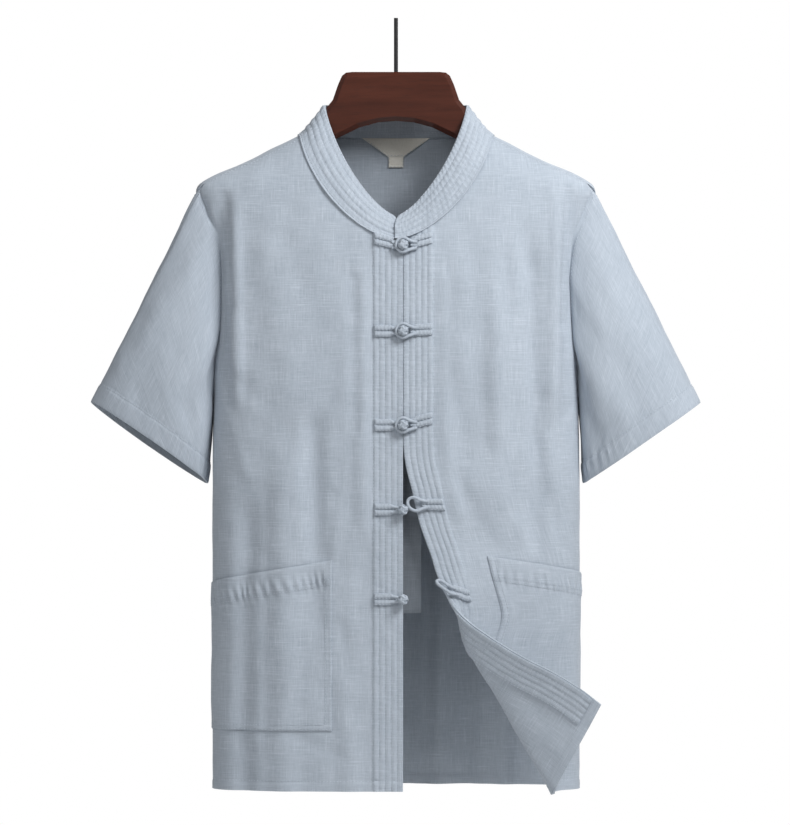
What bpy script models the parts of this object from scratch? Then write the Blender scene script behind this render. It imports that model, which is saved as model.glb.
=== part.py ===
"""A short-sleeved linen jacket with a band collar and knotted cord closures, hung on a wooden hanger.

The frame: +X is the wearer's left, -Y is the garment's front and +Z is up. The origin is the top end of
the hanger's rod. A "drop" is a distance below that point. Sizes are in millimetres, and become metres in
the meshes. "Right" and "left" are the wearer's.

Each cloth piece is a sheet of points, worked out from the rings of the hanging garment, with a wall on it.
A ring is a level section of the cloth's inner face. A place on a ring is its "along": the distance on the
ring from the garment's centre line, positive on the wearer's left.
"""

import functools

import bmesh
import bpy
import numpy as np

MM = 0.001
FRONT, BACK = -1, 1
RIGHT, LEFT = -1, 1

# Cloth
WALL = 1.5
CHANNEL_RISE = 0.7
SEAM_GAP = 0.3
SEAM_SETBACK = 0.25

# Levels
SHOULDER_POINT_DROP = 134.0
ARMPIT_DROP = 407.0
FIXED_ROWS_DROP = 276.0
HEM_DROP = 877.0

# Centre front, neck and shoulders
CENTRE_FRONT = 8.0
CHANNEL_WIDTH = 7.6
CHANNELS = 4
NECK_HALF_WIDTH = 106.0
FRONT_NECK_DEPTH = 120.0
FRONT_NECK_POWER = 1.57
BACK_NECK_DIP = 3.0
SHOULDER_SEAM_FORWARD = 11.0
SHOULDER_COLUMNS = (106.0, 122.0, 141.0, 163.0, 184.0)
SHOULDER_END = 216.0
RIDGE_END = 227.0
FRONT_NECK_COLUMNS = 5
BACK_NECK_COLUMNS = 6
OUTER_COLUMNS = 5
FRONT_UPPER_ROWS = 4
BACK_UPPER_MARKS = (0, 6, 16, 36, 58, 79, 100)


def table(names, *rows):
    """A table with a column for each name, as {name: array}."""
    return {name: np.array(column, float) for name, column in zip(names.split(), zip(*rows))}


# The rings: half their width, how far they stand before and behind the shoulder line, and how square
# their outline is (2 is an ellipse).
RINGS = table(
    "drop half_width front back square",
    (100, 44.0, 24, 38, 2.0),
    (134, 108.0, 32, 42, 2.0),
    (160, 159.0, 39, 46, 2.0),
    (193, 225.0, 46, 51, 2.1),
    (215, 221.0, 50, 54, 2.3),
    (250, 211.0, 56, 58, 2.5),
    (320, 206.0, 63, 62, 2.7),
    (407, 206.0, 68, 64, 2.8),
    (515, 207.5, 71, 65, 2.8),
    (700, 207.5, 70, 64, 2.8),
    (877, 207.5, 68, 62, 2.8),
)

# How far each armhole edge lies from the ring's side, along the cloth, below the end of the shoulder.
ARMHOLE = table(
    "drop inset",
    (222, 17),
    (245, 22),
    (290, 24),
    (345, 23),
    (375, 18),
    (397, 9),
    (407, 0),
)

# Soft folds: where each runs on the ring at its top, how wide it is, how far it stands out (or in, below 0),
# the drops between which it runs, and how far it leans along the ring for each millimetre down.
FRONT_FOLDS = table(
    "along width rise top bottom lean",
    (-205, 12, -5, 186, 420, 0.00),
    (-186, 12, 4, 190, 470, 0.02),
    (-92, 22, -4, 420, 720, 0.00),
    (-126, 24, 4, 470, 960, 0.00),
    (-40, 16, 3, 250, 620, 0.01),
    (-170, 20, -4, 520, 960, -0.01),
    (-60, 20, 3, 700, 960, 0.05),
    (205, 12, -5, 192, 400, 0.00),
    (186, 13, 5, 190, 480, -0.02),
    (150, 20, -6, 220, 640, 0.03),
    (118, 22, 6, 300, 600, 0.01),
    (72, 18, 3, 250, 460, 0.02),
)
BACK_FOLDS = table(
    "along width rise top bottom lean",
    (-196, 14, -6, 205, 470, 0.04),
    (196, 14, -6, 205, 455, -0.04),
    (-150, 20, 6, 260, 960, 0.04),
    (-112, 18, -7, 330, 960, 0.03),
    (-72, 20, 6, 400, 960, 0.02),
    (-28, 22, -6, 330, 960, 0.00),
    (18, 20, 6, 300, 960, -0.01),
    (58, 18, -7, 380, 960, -0.02),
    (98, 20, 6, 290, 960, -0.03),
    (140, 20, -7, 340, 960, -0.03),
)
FOLD_FADE = 70.0

# The left front's turned-back corner, a row for each level of its cloth. The row of cloth runs level from its
# root on the ring to the fold, turns there by "turn" degrees, and rises to the free edge.
CORNER = table(
    "drop root fold_x fold_y turn edge_x edge_drop edge_y",
    (472, 120, 66.0, -72, 0, 8.4, 472, -70),
    (527, 130, 70.0, -74, 4, 16.0, 527, -73),
    (580, 138, 76.0, -76, 10, 27.5, 578, -76),
    (613, 144, 78.0, -78, 20, 38.5, 609, -79),
    (641, 150, 76.0, -80, 35, 47.0, 636, -83),
    (673, 156, 72.0, -83, 62, 61.5, 664, -91),
    (706, 165, 76.5, -87, 84, 84.5, 687, -102),
    (728, 172, 86.5, -89, 88, 103.5, 700, -108),
    (779, 184, 118.0, -92, 90, 147.0, 726, -118),
    (811, 190, 136.0, -94, 90, 175.5, 740, -122),
    (844, 194, 155.0, -96, 90, 204.0, 757, -125),
    (877, 198, 176.5, -97, 90, 229.0, 776, -126),
)
CORNER_RISE = 0.55
CORNER_ROLL = 9.0

# Rows of points, by drop
RIGHT_ROWS = (305, 335, 365, 390, 407, 450, 500, 550, 600, 655, 710, 760, 809, 845, 877)
LEFT_ROWS = (
    *(305, 335, 365, 390, 407, 435, 465, 495, 540, 582, 606, 628, 648, 667, 685),
    *(703, 720, 740, 760, 780, 800, 820, 838, 857, 877),
)
BACK_ROWS = (305, 335, 365, 390, 407, 450, 495, 540, 582, 606, 628, 648, 685, 720, 760, 800, 838, 877)
SIDE_COLUMNS = {FRONT: 5, BACK: 4}

# Sleeves
CUFF_OUTER = (346.0, 439.0)
CUFF_INNER = (215.0, 530.0)
CUFF_HALF_DEPTH = 39.0
CUFF_LIFT = {RIGHT: 6.0, LEFT: 0.0}
SLEEVE_FULLNESS = 13.0
SLEEVE_ROWS = 9
SLEEVE_COLUMNS = 24
ARMHOLE_STEP = 2.9
ARMPIT_STEP = 2.4

# Collar
COLLAR_TOP_HALF_WIDTH = 80.0
COLLAR_SIDE_DROP = 100.0
COLLAR_DIP = 128.0
COLLAR_POWER = 1.42
COLLAR_HOLLOW = 2.2
COLLAR_FRONT_REACH = 40.0
COLLAR_BACK_REACH = 37.0
COLLAR_BACK_RISE = 2.0
COLLAR_CHANNELS = 4
COLLAR_WALL = 1.8
COLLAR_CORNER = 10.0
COLLAR_ENDS = {RIGHT: 3.0, LEFT: -1.0}
COLLAR_OVERLAP = 2.6
COLLAR_COLUMNS = 19
COLLAR_STEP = 1.1
COLLAR_SHOULDER_STEP = 2.9

# Pockets
POCKET_INNER = {RIGHT: 72.0, LEFT: 74.0}
POCKET_OUTER = 229.0
POCKET_MOUTH_DROP = {RIGHT: 616.0, LEFT: 611.0}
POCKET_MOUTH_SLOPE = 0.17
POCKET_BOTTOM_DROP = 809.0
POCKET_GAP = {RIGHT: 0.35, LEFT: 1.1}

# Front facing and the strip behind the closures
FACING_WIDTH = 35.0
FACING_GAP = 0.4
FACING_FOLD_GAP = 3.6
FACING_TOP_DROP = 276.0
GUARD_INNER, GUARD_OUTER = -20.0, 28.5
GUARD_TOP_DROP, GUARD_BOTTOM_DROP = 268.0, 676.0
GUARD_DEPTH = 4.2

# Closures: the drop of each knot, how far each strap's outer end rises above it, and how much higher
# the eye is.
CLOSURES = table(
    "drop right_rise left_rise loop_up",
    (261.5, 8, 9, 0),
    (358, 0, 2, 0),
    (464, 0, 8, 0),
    (559, 0, 0, 5),
    (660, 0, 0, 6),
)
STRAP_REACH = 33.0
STRAP_HALF_HEIGHT = 3.2
STRAP_RADIUS = 3.0
STRAP_END = 0.55
CORD_RADIUS = 1.7
CORD_SPACING = 3.6
KNOT_RISE = ((0.0, 1.0), (1.2, 0.6), (3.0, 0.12), (4.8, 0.0), (10.0, 0.0))
KNOT_RADIUS = 5.6
KNOT_LIFT = 9.0
EYE_RADIUS = 7.9
EYE_LIFT = 6.6

# Hanger and rod
HANGER_TOP_DROP = 61.6
HANGER_HALF_THICKNESS = 7.5
HANGER_EDGE = 5.0
HANGER_REST = 0.8
ROD_RADIUS = 2.3
ROD_SEAT = 18.0

# Neck label
LABEL_TOP_HALF_WIDTH, LABEL_FOOT_HALF_WIDTH = 39.0, 9.0
LABEL_TOP_DROP, LABEL_HEIGHT = 135.0, 21.0
TAB_HALF_WIDTH, TAB_HEIGHT = 8.5, 12.0
LABEL_WALL = 0.9
LABEL_STEP = 0.8


def ease(value):
    """0 below 0, 1 above 1, and a smooth step between."""
    value = np.clip(value, 0.0, 1.0)
    return value * value * (3.0 - 2.0 * value)


def at(rows, name, drop):
    """A table's column at a drop, read along a smooth curve through its rows."""
    drops, values = rows["drop"], rows[name]
    drop = min(max(drop, drops[0]), drops[-1])
    slopes = np.gradient(values, drops)
    upper = min(max(int(np.searchsorted(drops, drop)), 1), len(drops) - 1)
    lower = upper - 1
    span = drops[upper] - drops[lower]
    part = (drop - drops[lower]) / span
    rise = values[upper] - values[lower]
    bend = part * (1 - part) * span * (slopes[lower] * (1 - part) - slopes[upper] * part)
    return values[lower] + rise * ease(part) + bend


# The ring, and points on it


@functools.cache
def ring(drop):
    """A ring as (along, x, y), all the way round from the centre front towards the wearer's left."""
    angle = np.linspace(0.0, 2.0 * np.pi, 961)
    power = 2.0 / at(RINGS, "square", drop)
    sideways, forward = np.sin(angle), np.cos(angle)
    depth = np.where(forward > 0, at(RINGS, "front", drop), at(RINGS, "back", drop))
    x = at(RINGS, "half_width", drop) * np.sign(sideways) * np.abs(sideways) ** power
    y = -depth * np.sign(forward) * np.abs(forward) ** power
    along = np.concatenate([[0.0], np.cumsum(np.hypot(np.diff(x), np.diff(y)))])
    return along, x, y


@functools.cache
def quarter(side, drop):
    """The length of a ring from its centre front or centre back to its side."""
    along, x, _ = ring(drop)
    front = along[int(np.argmax(x))]
    return front if side == FRONT else along[-1] / 2 - front


def fold_rise(side, drop, along):
    """How far the soft folds move the cloth outwards at a place."""
    folds = FRONT_FOLDS if side == FRONT else BACK_FOLDS
    middle = folds["along"] + folds["lean"] * (drop - folds["top"])
    reach = np.clip((along - middle) / folds["width"], -1.0, 1.0)
    fade = ease((drop - folds["top"]) / FOLD_FADE) * ease((folds["bottom"] - drop) / FOLD_FADE)
    return float(np.sum(folds["rise"] * fade * 0.5 * (1.0 + np.cos(np.pi * reach))))


def place(side, drop, along):
    """The point of the cloth's inner face at a drop and an along."""
    arcs, xs, ys = ring(round(drop, 3))
    total = arcs[-1]
    arc = (along if side == FRONT else total / 2 - along) % total
    x, y = np.interp(arc, arcs, xs), np.interp(arc, arcs, ys)
    ahead, behind = (arc + 1.0) % total, (arc - 1.0) % total
    run = np.array([
        np.interp(ahead, arcs, xs) - np.interp(behind, arcs, xs),
        np.interp(ahead, arcs, ys) - np.interp(behind, arcs, ys),
    ])
    run /= np.hypot(*run)
    rise = fold_rise(side, drop, along)
    return np.array([x + run[1] * rise, y - run[0] * rise, -drop])


@functools.cache
def shoulder_drop(x, y):
    """The drop of the cloth over the shoulder, at a distance from the centre line and before or behind it."""
    low, high = 100.0, 215.0
    for _ in range(40):
        drop = (low + high) / 2
        depth = at(RINGS, "front" if y < 0 else "back", drop)
        square = at(RINGS, "square", drop)
        reach = at(RINGS, "half_width", drop) * max(0.0, 1 - (abs(y) / depth) ** square) ** (1 / square)
        low, high = (drop, high) if reach < x else (low, drop)
    return drop


def seam_point(x):
    """The drop and the front along of the shoulder seam, at a distance from the centre line."""
    drop = shoulder_drop(x, -SHOULDER_SEAM_FORWARD)
    along, xs, ys = ring(round(drop, 3))
    near = np.argmin(np.where((xs > 0) & (ys < 0), np.abs(ys + SHOULDER_SEAM_FORWARD), np.inf))
    return drop, float(along[near])


def ridge_drop(x):
    """The drop at which a ring's side reaches a distance from the centre line."""
    low, high = 100.0, 205.0
    for _ in range(40):
        drop = (low + high) / 2
        low, high = (drop, high) if at(RINGS, "half_width", drop) < x else (low, drop)
    return drop


def neckline_half_width(drop):
    """Half the width of the front neckline at a drop."""
    depth = min(max((drop - SHOULDER_POINT_DROP) / FRONT_NECK_DEPTH, 0.0), 1.0)
    return NECK_HALF_WIDTH * (1 - depth**FRONT_NECK_POWER) ** (1 / FRONT_NECK_POWER)


@functools.cache
def neckline_drop(along):
    """The drop at which the front neckline crosses an along."""
    low, high = SHOULDER_POINT_DROP, SHOULDER_POINT_DROP + FRONT_NECK_DEPTH
    for _ in range(30):
        drop = (low + high) / 2
        inside = abs(place(FRONT, drop, along)[0]) < neckline_half_width(drop)
        low, high = (drop, high) if inside else (low, drop)
    return (low + high) / 2


def back_neck_drop(along):
    """The drop of the back neckline at an along."""
    reach = min(abs(along) / quarter(BACK, SHOULDER_POINT_DROP), 1.0)
    return SHOULDER_POINT_DROP + BACK_NECK_DIP * (1 - reach**2)


@functools.cache
def edge_along(side, drop):
    """The along of a panel's outer edge: its armhole, then its side seam."""
    end_drop, end_along = seam_point(SHOULDER_END)
    if side == FRONT:
        first, inset = end_drop, quarter(FRONT, end_drop) - end_along + SEAM_SETBACK
    else:
        first, inset = ridge_drop(RIDGE_END), 0.0
    drops = np.concatenate([[first], ARMHOLE["drop"]])
    insets = np.concatenate([[inset], ARMHOLE["inset"]])
    return quarter(side, drop) - float(np.interp(drop, drops, insets)) - SEAM_SETBACK


# The left front's turned-back corner


@functools.cache
def corner_row(drop):
    """A row of the turned-back corner from its free edge to its root, as (along the cloth, points)."""
    root = place(FRONT, drop, at(CORNER, "root", drop))
    beside = place(FRONT, drop, at(CORNER, "root", drop) - 4.0)
    fold = np.array([at(CORNER, "fold_x", drop), at(CORNER, "fold_y", drop), -drop])
    edge = np.array([at(CORNER, "edge_x", drop), at(CORNER, "edge_y", drop), -at(CORNER, "edge_drop", drop)])
    turn = np.radians(at(CORNER, "turn", drop))
    heading = np.array([-np.cos(turn), -np.sin(turn), CORNER_RISE * np.sin(turn)])
    heading /= np.linalg.norm(heading)
    start = (beside - root) / np.linalg.norm(beside - root)
    rising = (edge - fold) / np.linalg.norm(edge - fold)
    lead = 0.55 * np.linalg.norm(fold - root)
    roll = min(CORNER_ROLL, 0.35 * np.linalg.norm(edge - fold))
    before = bend(root, root + start * lead, fold - heading * CORNER_ROLL, fold)
    after = bend(fold, fold + heading * roll, edge - rising * 0.4 * np.linalg.norm(edge - fold), edge)
    points = np.concatenate([before, after[1:]])[::-1]
    lengths = np.linalg.norm(np.diff(points, axis=0), axis=1)
    return CENTRE_FRONT + np.concatenate([[0.0], np.cumsum(lengths)]), points


def bend(start, first, second, end):
    """Points on the smooth curve from start to end that is drawn by two guides."""
    part = np.linspace(0.0, 1.0, 41)[:, None]
    rest = 1.0 - part
    return rest**3 * start + 3 * rest**2 * part * first + 3 * rest * part**2 * second + part**3 * end


def seam_shift(drop):
    """How far the turned corner draws the left side seam round to the back."""
    if drop < CORNER["drop"][0]:
        return 0.0
    cloth, _ = corner_row(round(drop, 3))
    return at(CORNER, "root", drop) - cloth[-1]


def edge_shift(side, drop):
    """The same shift at the side seam itself, straight between the back's rows."""
    if side == RIGHT:
        return 0.0
    return float(np.interp(drop, BACK_ROWS, [seam_shift(row) for row in BACK_ROWS]))


def front_point(side, drop, reach):
    """The point of a front's inner face at a distance along the cloth from the garment's centre line."""
    if side == RIGHT or drop < CORNER["drop"][0]:
        return place(FRONT, drop, side * reach)
    cloth, points = corner_row(round(drop, 3))
    if reach >= cloth[-1]:
        return place(FRONT, drop, reach + edge_shift(side, drop))
    if reach < cloth[0]:
        heading = points[0] - points[3]
        return points[0] + heading / np.linalg.norm(heading) * (cloth[0] - reach)
    return np.array([np.interp(reach, cloth, points[:, axis]) for axis in range(3)])


def on_front(side, drop, reach, height):
    """A point at a height above a front's inner face (inside is negative), and the outward direction."""
    step = 1.5
    across = front_point(side, drop, reach + step) - front_point(side, drop, reach - step)
    down = front_point(side, drop + step, reach) - front_point(side, drop - step, reach)
    outward = -side * np.cross(across, down)
    outward /= np.linalg.norm(outward)
    return front_point(side, drop, reach) + outward * height, outward


# Rows and columns of points


def evenly(points, count):
    """The same line of points, with count points at equal distances."""
    points = np.array(points)
    lengths = np.concatenate([[0.0], np.cumsum(np.linalg.norm(np.diff(points, axis=0), axis=1))])
    marks = np.linspace(0.0, lengths[-1], count)
    return [np.array([np.interp(mark, lengths, points[:, axis]) for axis in range(3)]) for mark in marks]


def channel_reaches(start):
    """The edges and middles of the placket's stitched channels, with how far each stands out (0 to 1)."""
    half = CHANNEL_WIDTH / 2
    return [(start + half * step, step % 2) for step in range(2 * CHANNELS + 1)]


class Panel:
    """A front as rows of inner points, with the reach of each point and the outward direction there."""

    def __init__(self, points, reaches, drops, rises):
        self.points, self.reaches, self.drops, self.rises = points, reaches, drops, rises
        across = np.gradient(points, axis=1)
        down = np.gradient(points, axis=0)
        outward = np.cross(across, down)
        outward /= np.linalg.norm(outward, axis=2)[:, :, None]
        self.outward = outward if outward[-1, -1] @ from_axis(points[-1, -1]) > 0 else -outward

    def on_row(self, row, reach, height):
        """A point at a height above a row (negative is inside), on the straight lines between its points."""
        moved = self.points[row] + self.outward[row] * height
        return np.array([np.interp(reach, self.reaches[row], moved[:, axis]) for axis in range(3)])

    def on(self, drop, reach, height):
        """A point at a height above the panel, on the straight lines between its rows."""
        start = len(self.points) - len(self.drops)
        row = min(max(int(np.searchsorted(self.drops, drop)), 1), len(self.drops) - 1)
        part = (drop - self.drops[row - 1]) / (self.drops[row] - self.drops[row - 1])
        upper, lower = (self.on_row(start + row - step, reach, height) for step in (1, 0))
        return upper * (1 - part) + lower * part

    def reaches_between(self, start, end, drop):
        """The start, the reaches of the columns between, and the end."""
        row = len(self.points) - len(self.drops) + int(np.searchsorted(self.drops, drop))
        inside = [reach for reach in self.reaches[row] if start + 1.5 < reach < end - 1.5]
        return [start, *inside, end]


def front_panel(side):
    """A front: its columns keep their reach as far as the shoulder, and then spread out to the edge."""
    drops = (FIXED_ROWS_DROP, *(RIGHT_ROWS if side == RIGHT else LEFT_ROWS))
    placket = channel_reaches(CENTRE_FRONT + SEAM_GAP / 2 if side == LEFT else -CENTRE_FRONT + SEAM_GAP / 2)
    seams = [(drop, reach - SEAM_GAP - 0.1) for drop, reach in map(seam_point, SHOULDER_COLUMNS)]
    neck = np.linspace(placket[-1][0], seams[0][1], FRONT_NECK_COLUMNS + 1)[1:-1]
    tops = [(neckline_drop(side * reach), reach, rise) for reach, rise in placket]
    tops += [(neckline_drop(side * reach), reach, 0) for reach in neck]
    tops += [(drop, reach, 0) for drop, reach in seams]
    last = seams[-1][1]
    columns, reaches = [], []

    def add_column(top, reach_at):
        levels = np.linspace(top, FIXED_ROWS_DROP, 30)
        line = [front_point(side, drop, reach_at(drop)) for drop in levels]
        upper = evenly(line, FRONT_UPPER_ROWS + 1)[:-1]
        columns.append(upper + [front_point(side, drop, reach_at(drop)) for drop in drops])
        reaches.append([reach_at(top)] * len(upper) + [reach_at(drop) for drop in drops])

    for top, reach, _ in tops:
        add_column(top, lambda drop: reach)
    for part in np.linspace(0.0, 1.0, SIDE_COLUMNS[FRONT] + 1)[1:]:
        top = seam_point(SHOULDER_COLUMNS[-1] + part * (SHOULDER_END - SHOULDER_COLUMNS[-1]))[0]
        add_column(top, lambda drop: last + part * (edge_along(FRONT, drop) - last))
    rises = [rise for _, _, rise in tops] + [0] * SIDE_COLUMNS[FRONT]
    return Panel(np.array(columns).transpose(1, 0, 2), np.array(reaches).T, np.array(drops, float), rises)


def over_shoulder(side, x):
    """Points of the cloth over the shoulder, from its seam up to the ridge."""
    steps = (-SHOULDER_SEAM_FORWARD, -SHOULDER_SEAM_FORWARD / 2, 0.0)
    return [np.array([side * x, y, -shoulder_drop(x, y)]) for y in steps]


def back_column(head, upper, lower):
    """A column of the back: its points before the ridge, its rows below, close at first, and the rest."""
    points = evenly(upper, 101)
    return head + [points[mark] for mark in BACK_UPPER_MARKS] + lower


def back_half(side):
    """The back's columns from the one beside the centre line out to a side."""
    columns = []
    limit = quarter(BACK, SHOULDER_POINT_DROP) - 6.0
    for reach in limit * np.linspace(0.0, 1.0, BACK_NECK_COLUMNS + 1)[1:] ** 0.7:
        columns.append(back_neck_column(side * reach))
    for x in SHOULDER_COLUMNS:
        ridge = ridge_drop(x)
        reach = quarter(BACK, ridge)
        upper = [place(BACK, drop, side * reach) for drop in np.linspace(ridge, FIXED_ROWS_DROP, 60)]
        lower = [place(BACK, drop, side * squeezed(side, drop, reach)) for drop in BACK_ROWS]
        columns.append(back_column(over_shoulder(side, x)[:-1], upper, lower))
    last, first = reach, SHOULDER_COLUMNS[-1]
    for part in np.linspace(0.0, 1.0, SIDE_COLUMNS[BACK] + 1)[1:]:
        x = first + part * (SHOULDER_END - first)
        head = over_shoulder(side, x)[:-1]
        ridge = ridge_drop(first + part * (RIDGE_END - first))

        def reach_at(drop):
            near = squeezed(side, drop, last)
            return near + part * (edge_along(BACK, drop) - edge_shift(side, drop) - near)

        side_reach = quarter(BACK, ridge)
        upper = []
        for drop in np.linspace(ridge, FIXED_ROWS_DROP, 60):
            mix = ease((drop - ridge) / 40.0)
            upper.append(place(BACK, drop, side * (side_reach * (1 - mix) + reach_at(drop) * mix)))
        lower = [place(BACK, drop, side * reach_at(drop)) for drop in BACK_ROWS]
        columns.append(back_column(head, upper, lower))
    return columns


def squeezed(side, drop, reach):
    """A back column's reach where the turned corner draws the side seam round to the back."""
    return reach * (1 - edge_shift(side, drop) / quarter(BACK, drop))


def back_neck_column(along):
    """A column of the back that starts at the neck."""
    top = back_neck_drop(along)
    head = [place(BACK, drop, along) for drop in (top, top + 2.5)]
    upper = [place(BACK, drop, along) for drop in np.linspace(top + 5.0, FIXED_ROWS_DROP, 60)]
    side = LEFT if along > 0 else RIGHT
    return back_column(head, upper, [place(BACK, drop, squeezed(side, drop, along)) for drop in BACK_ROWS])


def back_grid():
    """The back's rows of inner points, from the wearer's right to their left."""
    columns = back_half(RIGHT)[::-1] + [back_neck_column(0.0)] + back_half(LEFT)
    return np.array(columns).transpose(1, 0, 2)


def armhole_line(side):
    """The armhole from the armpit, up its front edge and over the shoulder, down its back edge."""
    end_drop, end_along = seam_point(SHOULDER_END)
    top = ridge_drop(RIDGE_END)
    rising = np.linspace(ARMPIT_DROP, end_drop, 60)
    front = [place(FRONT, drop, side * edge_along(FRONT, drop)) for drop in rising]
    back = []
    for drop in np.linspace(top, ARMPIT_DROP, 60):
        mix = ease((drop - top) / 40.0)
        reach = quarter(BACK, top) * (1 - mix) + edge_along(BACK, drop) * mix
        back.append(place(BACK, drop, side * reach))
    return front + back


def sleeve_grid(side):
    """A sleeve's rows of inner points, from the armhole to the cuff, closed round the arm."""
    line = evenly(armhole_line(side), SLEEVE_COLUMNS + 1)
    outer, inner = np.array(CUFF_OUTER), np.array(CUFF_INNER)
    rows = [[] for _ in range(SLEEVE_ROWS)]
    for index, point in enumerate(line[:-1]):
        angle = 2 * np.pi * index / SLEEVE_COLUMNS
        low = ease((-point[2] - 360.0) / 47.0)
        start = point + np.array([side * (ARMHOLE_STEP + ARMPIT_STEP * low), 0.0, 3.0 * low])
        reach, drop = (outer + inner) / 2 + (inner - outer) / 2 * np.cos(angle)
        lift = CUFF_LIFT[side] * np.sin(angle)
        end = np.array([side * reach, -CUFF_HALF_DEPTH * np.sin(angle), -drop + lift])
        for row, part in enumerate(np.linspace(0.0, 1.0, SLEEVE_ROWS)):
            full = np.array([0.0, -SLEEVE_FULLNESS * np.sin(angle) * 4 * part * (1 - part), 0.0])
            rows[row].append(start * (1 - part) + end * part + full)
    return np.array(rows)


# The collar


def neck_edge(side):
    """Half of the neck's edge, from the centre front to the centre back."""
    limit = seam_point(SHOULDER_COLUMNS[0])[1]
    front = [place(FRONT, neckline_drop(side * reach), side * reach) for reach in np.linspace(0.0, limit, 60)]
    side_reach = quarter(BACK, SHOULDER_POINT_DROP)
    back = [place(BACK, back_neck_drop(reach), side * reach) for reach in np.linspace(side_reach, 0.0, 60)]
    return evenly(front + back, 200)


def collar_top(side):
    """Half of the collar's top edge, from the centre front to the centre back."""
    front = []
    for angle in np.linspace(0.0, np.pi / 2, 60):
        x = COLLAR_TOP_HALF_WIDTH * np.sin(angle) ** (2 / COLLAR_POWER)
        dip = max(np.cos(angle), 0.0) ** (2 / COLLAR_POWER)
        y = -COLLAR_FRONT_REACH * (1 - (1 - dip) ** COLLAR_HOLLOW)
        front.append(np.array([side * x, y, -COLLAR_SIDE_DROP - COLLAR_DIP * dip]))
    back = []
    for angle in np.linspace(0.0, np.pi / 2, 40)[1:]:
        x, y = COLLAR_TOP_HALF_WIDTH * np.cos(angle), COLLAR_BACK_REACH * np.sin(angle)
        back.append(np.array([side * x, y, -COLLAR_SIDE_DROP + COLLAR_BACK_RISE * np.sin(angle)]))
    return evenly(front + back, 200)


def collar_half(side):
    """Half of the collar's columns from its front end to the centre back, each from its foot to its top."""
    foot, top = np.array(neck_edge(side)), np.array(collar_top(side))
    length = np.sum(np.linalg.norm(np.diff(foot, axis=0), axis=1))
    rows = 2 * COLLAR_CHANNELS
    columns = []
    for part in np.linspace(0.0, 1.0, COLLAR_COLUMNS + 1) ** 1.15:
        column = []
        for row in range(rows + 1):
            height = row / rows
            corner = COLLAR_CORNER * (1 - np.sqrt(1 - max(0.0, (height - 0.5) / 0.5) ** 2))
            begin = (side * COLLAR_ENDS[side] + corner) / length
            mark = (begin + (1 - begin) * part) * 199
            low = np.array([np.interp(mark, range(200), foot[:, axis]) for axis in range(3)])
            high = np.array([np.interp(mark, range(200), top[:, axis]) for axis in range(3)])
            if mark < 0:
                low[0], high[0] = side * mark * length / 199, side * mark * length / 199
            ahead = COLLAR_OVERLAP * (1 - ease(part * length / 40.0)) if side == LEFT else 0.0
            upright = np.array([0.0, -3.0 * np.sin(np.pi * height), 0.0])
            above = COLLAR_STEP + COLLAR_SHOULDER_STEP * ease((abs(low[0]) - 10.0) / 45.0)
            lift = np.array([0.0, -ahead, above])
            column.append(low * (1 - height) + high * height + upright + lift)
        columns.append(column)
    return columns


def collar_grid():
    """The collar's rows of inner points, from the wearer's right front end round to their left."""
    columns = collar_half(RIGHT) + collar_half(LEFT)[-2::-1]
    return np.array(columns).transpose(1, 0, 2)


# Solids


def fresh_scene():
    """Empty collections for the garment and its cutters, and nothing else in the scene."""
    for thing in list(bpy.data.objects):
        bpy.data.objects.remove(thing, do_unlink=True)
    for group in list(bpy.data.collections):
        bpy.data.collections.remove(group)
    made = []
    for name in ("linen_jacket_on_hanger", "cutters"):
        group = bpy.data.collections.new(name)
        bpy.context.scene.collection.children.link(group)
        made.append(group)
    return made


def material(name, colour, roughness):
    """A plain Principled material."""
    made = bpy.data.materials.new(name)
    made.use_nodes = True
    shader = made.node_tree.nodes["Principled BSDF"]
    shader.inputs["Base Color"].default_value = (*colour, 1.0)
    shader.inputs["Roughness"].default_value = roughness
    made.diffuse_color = (*colour, 1.0)
    return made


def add(name, mesh, coat, group):
    """An object with its own mesh and material, softly shaded."""
    thing = bpy.data.objects.new(name, mesh)
    group.objects.link(thing)
    mesh.materials.clear()
    mesh.materials.append(coat)
    mesh.shade_smooth()
    mesh.set_sharp_from_angle(angle=np.radians(40))
    return thing


def sheet(name, grid, wall, coat, group, outward, rises=None, closed=False):
    """A wall on rows of inner points. Rises say how far each column stands out; outward is rough."""
    rows, columns = grid.shape[:2]
    wrap = columns if closed else columns - 1
    faces = []
    for row in range(rows - 1):
        for column in range(wrap):
            after = (column + 1) % columns
            faces.append((row * columns + column, (row + 1) * columns + column,
                          (row + 1) * columns + after, row * columns + after))
    mesh = bpy.data.meshes.new(name)
    mesh.from_pydata((grid.reshape(-1, 3) * MM).tolist(), [], faces)
    mesh.update()
    facing = sum(np.dot(np.array(face.normal), outward(np.array(face.center) / MM)) * face.area
                 for face in mesh.polygons)
    if facing < 0:
        mesh.flip_normals()
    thing = add(name, mesh, coat, group)
    rise = 0.0 if rises is None else CHANNEL_RISE
    solid = thing.modifiers.new("wall", "SOLIDIFY")
    solid.thickness = (wall + rise) * MM
    solid.offset = 1.0
    solid.use_even_offset = True
    solid.thickness_clamp = 0.0
    if rises is not None:
        standing = thing.vertex_groups.new(name="standing")
        heights = np.broadcast_to(np.array(rises, float), (rows, columns)).reshape(-1)
        for index, height in enumerate(heights):
            standing.add([index], float(height), "REPLACE")
        solid.vertex_group = "standing"
        solid.thickness_vertex_group = wall / (wall + rise)
    return thing


def from_axis(point):
    """Outwards from the upright line through the garment's middle."""
    return np.array([point[0], point[1], 0.0])


def forwards(point):
    """Towards the front."""
    return np.array([0.0, -1.0, 0.0])


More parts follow.
